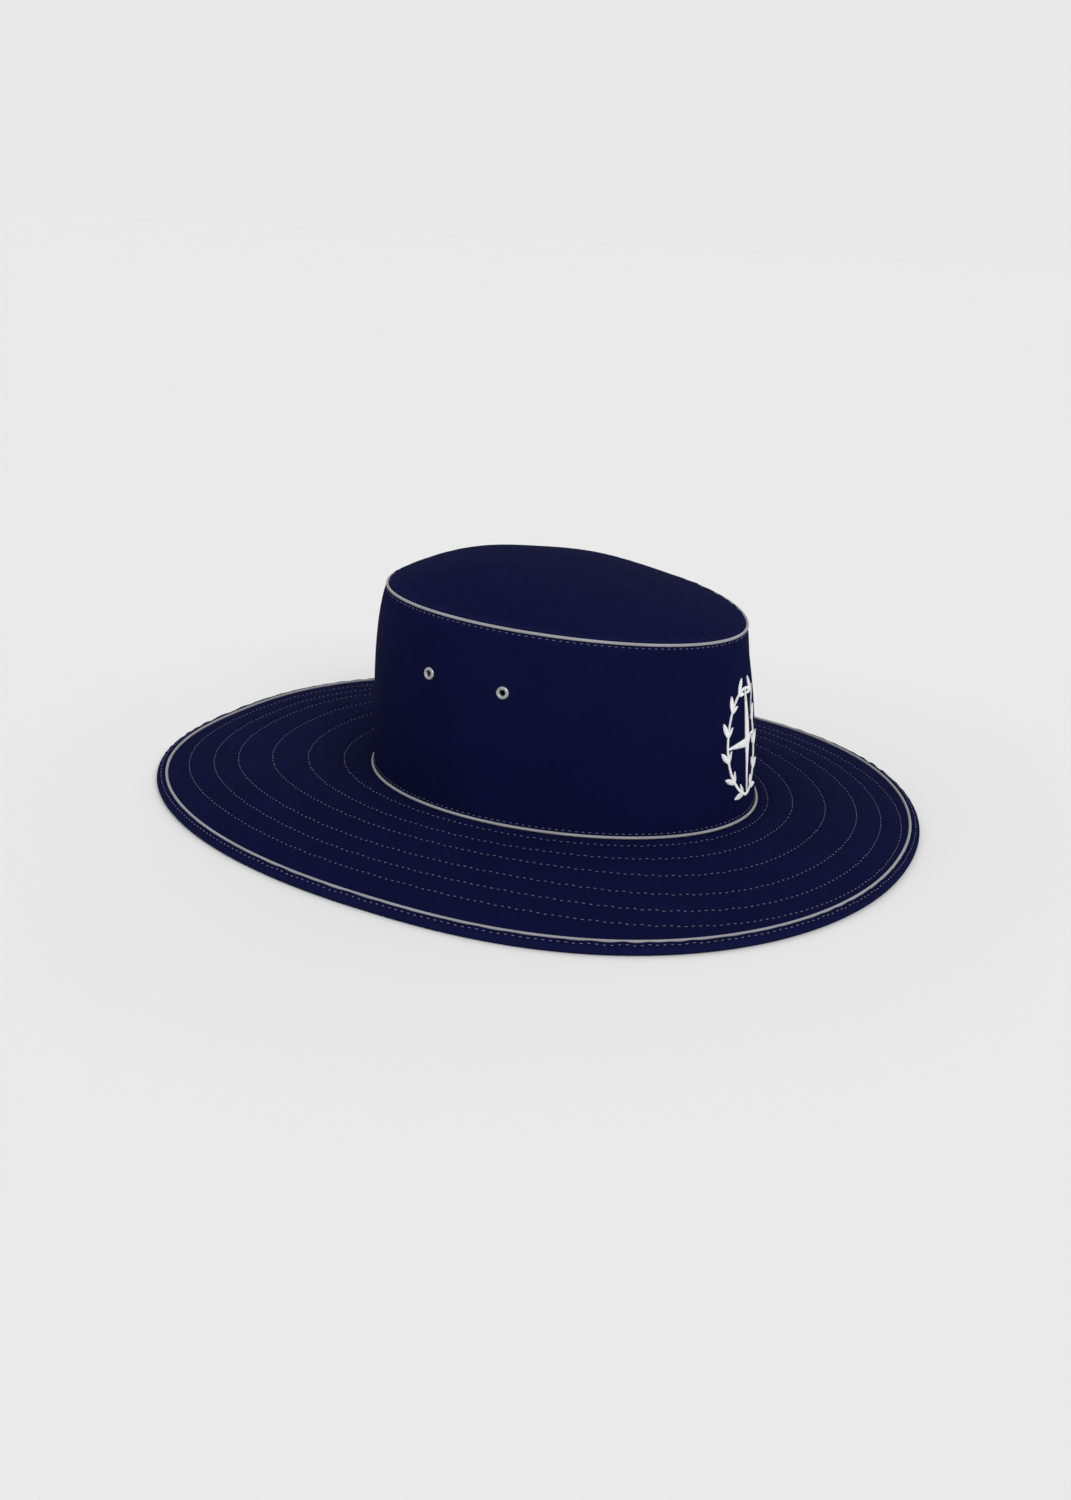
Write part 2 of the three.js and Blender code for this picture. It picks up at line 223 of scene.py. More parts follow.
@dataclass(frozen=True)
class HatForm:
    """The shape that all the pieces share: three ovals, two seams, a shoulder, a droop and a dome.

    The base oval and seam are the side band's outer face where it meets the brim, and the top oval
    and seam are the seam between the side band and the tip.
    """

    crown_forward: float = 15.3 * MM
    base_oval: Oval = Oval(crown_forward, 97 * MM, 81.3 * MM, taper=-0.025, fullness=1.97)
    top_oval: Oval = Oval(crown_forward - 2.7 * MM, 87.8 * MM, 74.9 * MM, taper=-0.045, fullness=1.94)
    base_seam: Seam = Seam(height=11.1 * MM, lean=0.0, wave=-1.5 * MM)
    top_seam: Seam = Seam(height=99.3 * MM, lean=-3.0 * MM, wave=-1.6 * MM)
    dome_rise: float = 14 * MM
    dome_lean: float = 0.43
    dome_power: float = 2.6
    tip_lift: float = 0.5 * MM
    tip_inset: float = 1.0 * MM
    shoulder_mean: float = 2.3 * MM
    shoulder_back: float = 2.1 * MM
    shoulder_powers: tuple[float, float] = (1.5, 0.85)
    shoulder_peak: float = 0.215
    brim_droop: float = 1.83
    crown_wall: float = 1.6 * MM
    brim_wall: float = 2.0 * MM
    seam_gap: float = 0.3 * MM
    binding_skin: float = 0.7 * MM
    binding_width: float = 4.0 * MM
    piping_radius: float = 0.65 * MM

    @property
    def brim_oval(self) -> Oval:
        """The finished outer edge of the brim.

        Returns:
            The oval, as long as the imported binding.
        """
        low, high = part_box("brim_binding")
        return Oval(
            middle=0.0,
            half_length=(high[0] - low[0]) / 2,
            half_width=162.8 * MM,
            taper=0.09,
            fullness=2.25,
            fullness_lean=-0.15,
        )

    @property
    def brim_edge_top(self) -> float:
        """The height of the brim cloth's upper face at its outer edge."""
        return self.binding_skin + self.seam_gap + self.brim_wall

    def band(self, angle: Array, height: Array) -> Array:
        """Works out points on the side band's outer face.

        Args:
            angle: Angles from the front.
            height: Shares of the band's height: 0 is the base seam, 1 the top seam.

        Returns:
            The points.
        """
        low, high = self.shoulder_powers
        bulge = (self.shoulder_mean - self.shoulder_back * np.cos(angle)) / self.shoulder_peak
        bulge = bulge * np.abs(height) ** low * np.abs(1 - height) ** high
        plan = mix(self.base_oval.point(angle), self.top_oval.point(angle), np.asarray(height)[..., None])
        plan = plan + self.base_oval.out(angle) * bulge[..., None]
        return raised(plan, mix(self.base_seam.at(angle), self.top_seam.at(angle), height))

    def band_tall(self, angle: Array) -> Array:
        """Gives how tall the side band is at angles from the front."""
        return self.top_seam.at(angle) - self.base_seam.at(angle)

    def band_height(self, angle: Array, z: Array) -> Array:
        """Gives the share of the band's height that a level above the table is at."""
        return (z - self.base_seam.at(angle)) / self.band_tall(angle)

    def brim_cloth_edge(self, angle: Array) -> Array:
        """Gives the plan of the brim cloth's outer edge, inside the binding."""
        return self.brim_oval.outside(angle, -(self.binding_skin + self.seam_gap))

    def brim_width(self, angle: Array) -> Array:
        """Gives the brim cloth's width at angles from the front."""
        return np.linalg.norm(self.brim_cloth_edge(angle) - self.base_oval.point(angle), axis=-1)

    def brim(self, angle: Array, share: Array) -> Array:
        """Works out points on the brim's upper face.

        Args:
            angle: Angles from the front.
            share: Shares of the brim's width: 0 is at the crown, 1 at the edge.

        Returns:
            The points.
        """
        plan = mix(self.base_oval.point(angle), self.brim_cloth_edge(angle), np.asarray(share)[..., None])
        drop = np.clip(share, 0, None) ** self.brim_droop
        return raised(plan, mix(self.base_seam.at(angle), self.brim_edge_top, drop))

    def brim_share_inside(self, angle: Array, distance: Number) -> Array:
        """Gives the brim share that lies a distance inside the finished edge."""
        inside = np.clip(distance - self.binding_skin - self.seam_gap, 0, None)
        return 1 - inside / self.brim_width(angle)

    def tip(self, angle: Array, reach: Array) -> Array:
        """Works out points on the tip's outer face.

        Args:
            angle: Angles from the front.
            reach: Shares of the way out: 0 is in the middle, 1 at the top seam.

        Returns:
            The points.
        """
        rim = self.top_oval.outside(angle, -self.tip_inset * reach)
        middle = np.array([self.top_oval.middle, 0.0])
        plan = middle + (rim - middle) * np.asarray(reach)[..., None]
        forward = reach * np.cos(angle)
        share = reach * (1 - self.tip_inset / self.top_oval.half_width)
        dome = self.dome_rise * (1 - share**self.dome_power) * (1 - self.dome_lean * forward)
        seam = self.top_seam.height + self.top_seam.lean * forward
        seam = seam + self.top_seam.wave * np.cos(2 * angle) * reach**2
        return raised(plan, seam + dome + self.tip_lift)


class Value:
    """A number that varies over a surface: Python's operators on it add Math nodes."""

    def __init__(self, graph: "Graph", socket: bpy.types.NodeSocket) -> None:
        """Wraps an output socket of a graph."""
        self.graph = graph
        self.socket = socket

    def __add__(self, other: "Value | float") -> "Value":
        """Adds."""
        return self.graph.math("ADD", self, other)

    def __radd__(self, other: float) -> "Value":
        """Adds to a plain number."""
        return self.graph.math("ADD", other, self)

    def __sub__(self, other: "Value | float") -> "Value":
        """Subtracts."""
        return self.graph.math("SUBTRACT", self, other)

    def __rsub__(self, other: float) -> "Value":
        """Subtracts from a plain number."""
        return self.graph.math("SUBTRACT", other, self)

    def __mul__(self, other: "Value | float") -> "Value":
        """Multiplies."""
        return self.graph.math("MULTIPLY", self, other)

    def __rmul__(self, other: float) -> "Value":
        """Multiplies a plain number."""
        return self.graph.math("MULTIPLY", other, self)

    def __truediv__(self, other: "Value | float") -> "Value":
        """Divides."""
        return self.graph.math("DIVIDE", self, other)

    def __rtruediv__(self, other: float) -> "Value":
        """Divides a plain number."""
        return self.graph.math("DIVIDE", other, self)

    def sine(self) -> "Value":
        """Takes the sine."""
        return self.graph.math("SINE", self)

    def wave(self) -> "Value":
        """Turns a count of waves into a wave that goes from 0 to 1."""
        return (self * TURN).sine() * 0.5 + 0.5

    def clamped(self) -> "Value":
        """Keeps the number from 0 to 1."""
        return self.graph.math("MINIMUM", self.graph.math("MAXIMUM", self, 0.0), 1.0)

    def smooth(self, low: float, high: float) -> "Value":
        """Goes smoothly from 0 to 1.

        Args:
            low: Where the result leaves 0.
            high: Where it reaches 1.

        Returns:
            The smoothed number.
        """
        settings = {"interpolation_type": "SMOOTHSTEP"}
        inputs = {"Value": self, "From Min": low, "From Max": high}
        node = self.graph.node("ShaderNodeMapRange", settings, inputs)
        return Value(self.graph, node.outputs["Result"])


class Graph:
    """Adds nodes to one node tree and joins them."""

    MIX_FACTOR = 0
    MIX_COLOURS = (6, 7)
    MIX_RESULT = 2

    def __init__(self, tree: bpy.types.NodeTree) -> None:
        """Starts on a node tree."""
        self.tree = tree

    def node(
        self,
        kind: str,
        settings: dict[str, object] | None = None,
        inputs: dict[str | int, object] | None = None,
    ) -> bpy.types.Node:
        """Adds one node.

        Args:
            kind: Blender's name for the node's type.
            settings: The node's own options, set first.
            inputs: Values or links for its sockets, by name or number.

        Returns:
            The new node.
        """
        made = self.tree.nodes.new(kind)
        for name, setting in (settings or {}).items():
            setattr(made, name, setting)
        self.fill(made, inputs or {})
        return made

    def fill(self, node: bpy.types.Node, inputs: dict[str | int, object]) -> None:
        """Gives the sockets of a node what they need.

        Args:
            node: The node.
            inputs: Values or links for its sockets, by name or number.
        """
        for key, given in inputs.items():
            source = given.socket if isinstance(given, Value) else given
            if isinstance(source, bpy.types.NodeSocket):
                self.tree.links.new(source, node.inputs[key])
            else:
                node.inputs[key].default_value = source

    def math(self, operation: str, *terms: "Value | float") -> Value:
        """Adds one Math node for the terms given."""
        made = self.node("ShaderNodeMath", {"operation": operation}, dict(enumerate(terms)))
        return Value(self, made.outputs[0])

    def axes(self, vector: bpy.types.NodeSocket) -> tuple[Value, Value, Value]:
        """Splits a vector.

        Args:
            vector: The vector's socket.

        Returns:
            Its three numbers.
        """
        made = self.node("ShaderNodeSeparateXYZ", {}, {"Vector": vector})
        x, y, z = (Value(self, socket) for socket in made.outputs)
        return x, y, z

    def cloth_map(self) -> bpy.types.NodeSocket:
        """Reads the piece's own map of the cloth, in metres."""
        return self.node("ShaderNodeUVMap", {"uv_map": "cloth"}).outputs["UV"]

    def place(self) -> bpy.types.NodeSocket:
        """Reads the place on the piece, in metres."""
        return self.node("ShaderNodeTexCoord").outputs["Object"]

    def wear(self) -> Value:
        """Reads how rubbed the piece is."""
        return Value(self, self.node("ShaderNodeAttribute", {"attribute_name": "wear"}).outputs["Fac"])

    def noise(self, vector: bpy.types.NodeSocket, scale: float, detail: float = 2.0) -> Value:
        """Gives smooth noise from 0 to 1, with a number of lumps to the vector's unit."""
        inputs = {"Vector": vector, "Scale": scale, "Detail": detail}
        return Value(self, self.node("ShaderNodeTexNoise", {}, inputs).outputs[0])

    def streaks(
        self,
        vector: bpy.types.NodeSocket,
        scale: tuple[float, float, float],
        detail: float = 2.0,
    ) -> Value:
        """Gives noise that is drawn out, with a number of lumps to the unit along each axis."""
        return self.noise(self.stretched(vector, scale), 1.0, detail)

    def stretched(
        self,
        vector: bpy.types.NodeSocket,
        scale: tuple[float, float, float],
    ) -> bpy.types.NodeSocket:
        """Scales a vector differently along its axes."""
        made = self.node("ShaderNodeVectorMath", {"operation": "MULTIPLY"}, {0: vector, 1: scale})
        return made.outputs["Vector"]

    def blend(self, share: Value, low: object, high: object) -> bpy.types.NodeSocket:
        """Mixes two colours.

        Args:
            share: How much of the second colour there is, from 0 to 1.
            low: The first colour, or its socket.
            high: The second colour, or its socket.

        Returns:
            The mixed colour's socket.
        """
        first, second = self.MIX_COLOURS
        inputs = {self.MIX_FACTOR: share, first: low, second: high}
        return self.node("ShaderNodeMix", {"data_type": "RGBA"}, inputs).outputs[self.MIX_RESULT]

    def bump(self, height: Value, strength: float, depth: float) -> bpy.types.NodeSocket:
        """Turns a height from 0 to 1 into a bumped normal, with its depth in metres."""
        inputs = {"Height": height, "Strength": strength, "Distance": depth}
        return self.node("ShaderNodeBump", {}, inputs).outputs["Normal"]


def from_screen(red: int, green: int, blue: int) -> Colour:
    """Turns a colour that isn't near black, as a screen shows it from 0 to 255, into light."""
    lit = [((channel / 255 + 0.055) / 1.055) ** 2.4 for channel in (red, green, blue)]
    return (*lit, 1.0)


def dimmed(colour: Colour, factor: float) -> Colour:
    """Makes a colour darker, or lighter with a factor over 1."""
    return (*(factor * channel for channel in colour[:3]), 1.0)


def start_material(name: str) -> tuple[bpy.types.Material, Graph, bpy.types.Node]:
    """Starts a material.

    Args:
        name: The material's name.

    Returns:
        The material, its graph, and its surface shader.
    """
    material = bpy.data.materials.new(name)
    material.use_nodes = True
    graph = Graph(material.node_tree)
    return material, graph, material.node_tree.nodes["Principled BSDF"]


class Lay(Enum):
    """How the twill's ribs climb across the cloth."""

    RIGHT = 1
    LEFT = -1


@dataclass(frozen=True)
class TwillFinish:
    """Dyed cotton twill: fine slanting ribs, slubs, uneven dye, and paler worn edges.

    Spacings are in millimetres. The fields that end in "tone" say how far each thing lightens or
    darkens the cloth.
    """

    name: str = "navy_twill"
    colour: Colour = (0.0049, 0.0065, 0.0405, 1.0)
    faded: Colour = (0.017, 0.021, 0.085, 1.0)
    rib_spacing: float = 1.0
    rib_waver: float = 0.5
    rib_share: float = 0.75
    rib_depth: float = 0.16 * MM
    thread_spacing: float = 0.5
    thread_lag: float = 0.5
    slant_degrees: float = 58.0
    lay: Lay = Lay.RIGHT
    mean_tone: float = 0.86
    weave_tone: float = 0.34
    slub_tone: float = 0.32
    dye_tone: float = 0.36
    fibre_tone: float = 0.22
    slub_strength: float = 0.9
    slub_relief: float = 0.6
    fibre_relief: float = 0.35
    least_rub: float = 0.45
    fibre_rub: float = 0.9
    rub_strength: float = 0.55
    rib_rub: float = 0.08
    rib_rub_from: float = 0.6
    roughness: float = 0.86
    dye_roughness: float = 0.12
    weave_polish: float = 0.06
    bump_strength: float = 0.55
    specular: float = 0.013
    sheen: float = 0.006
    sheen_roughness: float = 0.5
    sheen_tint: Colour = (0.35, 0.42, 1.0, 1.0)

    def build(self) -> bpy.types.Material:
        """Makes the material, which reads the piece's "cloth" map and "wear" attribute.

        Returns:
            The material.
        """
        material, graph, shader = start_material(self.name)
        cloth = graph.cloth_map()
        u, v, _ = graph.axes(graph.stretched(cloth, (MM_TO_THE_METRE,) * 3))
        slant = math.radians(self.slant_degrees)
        across = u * (math.sin(slant) * self.lay.value) + v * math.cos(slant)
        along = v * math.sin(slant) - u * (math.cos(slant) * self.lay.value)
        waver = graph.noise(cloth, scale=380.0) * self.rib_waver
        ribs = (across / self.rib_spacing + waver).wave()
        threads = (along / self.thread_spacing + across / self.rib_spacing * self.thread_lag).wave()
        weave = ribs * self.rib_share + threads * (1 - self.rib_share)
        fibres = graph.noise(cloth, scale=5200.0, detail=3.0)
        warp_slubs = graph.streaks(cloth, scale=(260.0, 1900.0, 1.0))
        weft_slubs = graph.streaks(cloth, scale=(1700.0, 220.0, 1.0))
        slubs = (warp_slubs + weft_slubs - 1.0) * self.slub_strength
        dye = graph.noise(graph.place(), scale=34.0, detail=4.0)
        tone = (
            self.mean_tone
            + (weave - 0.5) * self.weave_tone
            + slubs * self.slub_tone
            + (dye - 0.5) * self.dye_tone
            + (fibres - 0.5) * self.fibre_tone
        )
        shade = graph.blend((tone * 0.5).clamped(), BLACK, dimmed(self.colour, 2.0))
        rubbed = graph.wear() * (self.least_rub + fibres * self.fibre_rub)
        worn = (rubbed * self.rub_strength + (weave - self.rib_rub_from) * self.rib_rub).clamped()
        relief = weave + slubs * self.slub_relief + fibres * self.fibre_relief
        graph.fill(shader, {
            "Base Color": graph.blend(worn, shade, self.faded),
            "Roughness": self.roughness + (dye - 0.5) * self.dye_roughness - weave * self.weave_polish,
            "Normal": graph.bump(relief, self.bump_strength, self.rib_depth),
            "Specular IOR Level": self.specular,
            "Sheen Weight": self.sheen,
            "Sheen Roughness": self.sheen_roughness,
            "Sheen Tint": self.sheen_tint,
        })
        return material


@dataclass(frozen=True)
class PipingFinish:
    """Grey cotton tape, cut on the bias and folded round a cord: its threads cross at a slant.

    The thread spacing is in millimetres. The fields that end in "light" say how far each thing
    takes the tape from its shadow's colour to its own.
    """

    name: str = "grey_cord"
    colour: Colour = from_screen(178, 178, 182)
    shadow: Colour = from_screen(110, 110, 116)
    threads_round: int = 8
    thread_spacing: float = 0.51
    warp_share: float = 0.55
    weft_share: float = 0.45
    least_light: float = 0.2
    weave_light: float = 0.5
    fuzz_light: float = 0.3
    grime_light: float = 0.5
    weave_depth: float = 0.09 * MM
    fuzz_relief: float = 0.4
    bump_strength: float = 0.6
    roughness: float = 0.84
    weave_polish: float = 0.1
    specular: float = 0.25
    sheen: float = 0.15

    def build(self) -> bpy.types.Material:
        """Makes the material, which reads the piece's "cloth" map: metres along, turns round.

        Returns:
            The material.
        """
        material, graph, shader = start_material(self.name)
        along, turn, _ = graph.axes(graph.cloth_map())
        steps = along * (MM_TO_THE_METRE / self.thread_spacing)
        warp = (steps + turn * self.threads_round).wave()
        weft = (steps - turn * self.threads_round).wave()
        weave = warp * self.warp_share + weft * self.weft_share
        place = graph.place()
        fuzz = graph.noise(place, scale=4200.0, detail=3.0)
        grime = graph.noise(place, scale=45.0, detail=3.0)
        light = weave * self.weave_light + fuzz * self.fuzz_light + (grime - 0.5) * self.grime_light
        share = (light + self.least_light).clamped()
        graph.fill(shader, {
            "Base Color": graph.blend(share, self.shadow, self.colour),
            "Roughness": self.roughness - weave * self.weave_polish,
            "Normal": graph.bump(weave + fuzz * self.fuzz_relief, self.bump_strength, self.weave_depth),
            "Specular IOR Level": self.specular,
            "Sheen Weight": self.sheen,
        })
        return material


@dataclass(frozen=True)
class ThreadFinish:
    """Sewing or embroidery thread: soft gloss, with each stitch a little lighter or darker."""

    name: str
    colour: Colour
    shadow: Colour
    roughness: float
    uneven_roughness: float = 0.25
    stitch_share: float = 0.6
    ply_share: float = 0.4
    ply_depth: float = 0.1 * MM
    bump_strength: float = 0.35
    specular: float = 0.35
    sheen: float = 0.1

    def build(self) -> bpy.types.Material:
        """Makes the material.

        Returns:
            The material.
        """
        material, graph, shader = start_material(self.name)
        place = graph.place()
        stitch_tone = graph.noise(place, scale=330.0, detail=1.0)
        ply = graph.noise(place, scale=3200.0)
        share = (stitch_tone * self.stitch_share + ply * self.ply_share).clamped()
        graph.fill(shader, {
            "Base Color": graph.blend(share, self.shadow, self.colour),
            "Roughness": self.roughness + (ply - 0.5) * self.uneven_roughness,
            "Normal": graph.bump(ply, self.bump_strength, self.ply_depth),
            "Specular IOR Level": self.specular,
            "Sheen Weight": self.sheen,
        })
        return material


@dataclass(frozen=True)
class EyeletFinish:
    """Plated metal with fine spun scratches and a little tarnish."""

    name: str = "eyelet_metal"
    colour: Colour = from_screen(180, 182, 185)
    tarnish: Colour = from_screen(112, 111, 110)
    spot_range: tuple[float, float] = (0.52, 0.74)
    spot_share: float = 0.6
    scratch_share: float = 0.3
    scratch_depth: float = 0.05 * MM
    bump_strength: float = 0.15
    roughness: float = 0.3
    scratch_roughness: float = 0.16
    spot_roughness: float = 0.1
    metallic: float = 0.9

    def build(self) -> bpy.types.Material:
        """Makes the material.

        Returns:
            The material.
        """
        material, graph, shader = start_material(self.name)
        place = graph.place()
        scratches = graph.streaks(place, scale=(5200.0, 5200.0, 900.0), detail=3.0)
        spots = graph.noise(place, scale=620.0, detail=3.0)
        share = spots.smooth(*self.spot_range) * self.spot_share + (scratches - 0.5) * self.scratch_share
        graph.fill(shader, {
            "Base Color": graph.blend(share.clamped(), self.colour, self.tarnish),
            "Roughness": self.roughness + scratches * self.scratch_roughness + spots * self.spot_roughness,
            "Normal": graph.bump(scratches, self.bump_strength, self.scratch_depth),
            "Metallic": self.metallic,
        })
        return material


@dataclass(frozen=True)
class PaperFinish:
    """The pale matt paper that the hat lies on."""

    name: str = "studio_paper"
    colour: Colour = (0.879, 0.879, 0.879, 1.0)
    darkest: float = 0.97
    unevenness: float = 0.02
    roughness: float = 0.95
    specular: float = 0.1

    def build(self) -> bpy.types.Material:
        """Makes the material.

        Returns:
            The material.
        """
        material, graph, shader = start_material(self.name)
        share = graph.noise(graph.place(), scale=3.0) * self.unevenness
        graph.fill(shader, {
            "Base Color": graph.blend(share, self.colour, dimmed(self.colour, self.darkest)),
            "Roughness": self.roughness,
            "Specular IOR Level": self.specular,
        })
        return material


def new_object(
    name: str,
    data: bpy.types.ID,
    material: bpy.types.Material | None = None,
) -> bpy.types.Object:
    """Puts something into the scene as an object at the origin.

    Args:
        name: The object's name.
        data: Its mesh, camera or light.
        material: A mesh's finish, if it has none yet.

    Returns:
        The object.
    """
    made = bpy.data.objects.new(name, data)
    bpy.context.scene.collection.objects.link(made)
    if material is not None:
        data.materials.append(material)
    return made


def plain_mesh(piece: bpy.types.Object) -> bpy.types.Mesh:
    """Gives a piece's mesh as its modifiers leave it."""
    depsgraph = bpy.context.evaluated_depsgraph_get()
    return bpy.data.meshes.new_from_object(piece.evaluated_get(depsgraph))


def add_to_part(piece: bpy.types.Object, slot: str, *nodes: str) -> None:
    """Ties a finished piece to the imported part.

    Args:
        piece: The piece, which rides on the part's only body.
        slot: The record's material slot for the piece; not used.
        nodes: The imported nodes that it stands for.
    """
    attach(piece, BODY)
    if nodes:
        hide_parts(*nodes)
    corners = len(piece.data.loops)
    log.info("%s: %d triangles", piece.name, corners - 2 * len(piece.data.polygons))


def ring_mesh(
    name: str,
    grid: Array,
    cloth: Array,
    poles: Array | None = None,
    sharp_degrees: float = 55.0,
) -> bpy.types.Mesh:
    """Makes a closed ring, or with poles a closed shell, from a grid of points.

    Args:
        name: The mesh's name.
        grid: Points, first round the hat and then round the section.
        cloth: The cloth map at the grid's corners, with one more row and column than grid.
        poles: The two points that close a section whose ends lie near an axis, if it has such ends.
        sharp_degrees: The least turn between two faces that shows as a sharp edge.

    Returns:
        The mesh, smooth but for its sharp edges, with its faces outwards.
    """
    rounds, rows = grid.shape[:2]
    closed_rows = rows if poles is None else rows - 1
    a, s = np.meshgrid(np.arange(rounds), np.arange(closed_rows), indexing="ij")
    corners = [(a, s), (a + 1, s), (a + 1, s + 1), (a, s + 1)]
    faces = np.stack([(i % rounds) * rows + j % rows for i, j in corners], axis=-1).reshape(-1, 4)
    maps = np.stack([cloth[i, j] for i, j in corners], axis=-2).reshape(-1, 4, 2)
    points = grid.reshape(-1, 3)
    first, second, third, fourth = (points[faces[:, k]] for k in range(4))
    volume = np.sum(first * np.cross(second, third)) + np.sum(first * np.cross(third, fourth))
    face_list = faces.tolist()
    map_list = maps.tolist()
    if poles is not None:
        start, end, last = len(points), len(points) + 1, rows - 1
        points = np.concatenate([points, poles])
        for i in range(rounds):
            here, after = i * rows, ((i + 1) % rounds) * rows
            face_list.append([start, after, here])
            map_list.append([poles[0, :2].tolist(), cloth[i + 1, 0].tolist(), cloth[i, 0].tolist()])
            face_list.append([end, here + last, after + last])
            map_list.append([poles[1, :2].tolist(), cloth[i, last].tolist(), cloth[i + 1, last].tolist()])
    if volume < 0:
        face_list = [face[::-1] for face in face_list]
        map_list = [corner[::-1] for corner in map_list]
    mesh = bpy.data.meshes.new(name)
    mesh.from_pydata(points.tolist(), [], face_list)
    flat = np.array([value for face in map_list for corner in face for value in corner], dtype=np.float32)
    mesh.uv_layers.new(name="cloth").data.foreach_set("uv", flat)
    mesh.shade_smooth()
    mesh.set_sharp_from_angle(angle=math.radians(sharp_degrees))
    return mesh


def set_wear(mesh: bpy.types.Mesh, wear: Array) -> None:
    """Stores how rubbed the cloth is.

    Args:
        mesh: A mesh of ring_mesh.
        wear: The wear at each point of its grid, from 0 to 1. Its poles get none.
    """
    values = np.zeros(len(mesh.vertices), dtype=np.float32)
    flat = np.clip(wear.reshape(-1), 0, 1)
    values[: len(flat)] = flat
    mesh.attributes.new("wear", "FLOAT", "POINT").data.foreach_set("value", values)


@dataclass(frozen=True)
class Thread:
    """One kind of laid thread: its size and how far apart the stitches are."""

    spacing: float
    width: float
    height: float
    unevenness: float
    seed: int


@dataclass
class PathSet:
    """Collects thread paths, open or closed, into one mesh of edges."""

    name: str
    points: list[Array] = field(default_factory=list)
    edges: list[tuple[int, int]] = field(default_factory=list)
    columns: dict[str, list[Array]] = field(default_factory=lambda: {"out": [], "lie": [], "span": []})
    count: int = 0

    def add(self, points: Array, out: Array, lie: Array, span: Array, closed: bool) -> None:
        """Adds one path.

        Args:
            points: The path's points.
            out: The direction off the cloth at each point.
            lie: The direction that a stitch lies in at each point.
            span: The length of a stitch at each point.
            closed: Whether the path comes back to its start.
        """
        size = len(points)
        self.points.append(points)
        for key, rows in (("out", out), ("lie", lie), ("span", span)):
            self.columns[key].append(rows)
        last = size if closed else size - 1
        self.edges += [(self.count + i, self.count + (i + 1) % size) for i in range(last)]
        self.count += size

    def mesh(self) -> bpy.types.Mesh:
        """Makes the mesh of edges.

        Returns:
            The mesh, with the attributes "out", "lie" and "span".
        """
        made = bpy.data.meshes.new(self.name)
        made.from_pydata(np.concatenate(self.points).tolist(), self.edges, [])
        for key in ("out", "lie"):
            rows = np.concatenate(self.columns[key]).astype(np.float32).reshape(-1)
            made.attributes.new(key, "FLOAT_VECTOR", "POINT").data.foreach_set("vector", rows)
        rows = np.concatenate(self.columns["span"]).astype(np.float32)
        made.attributes.new("span", "FLOAT", "POINT").data.foreach_set("value", rows)
        return made


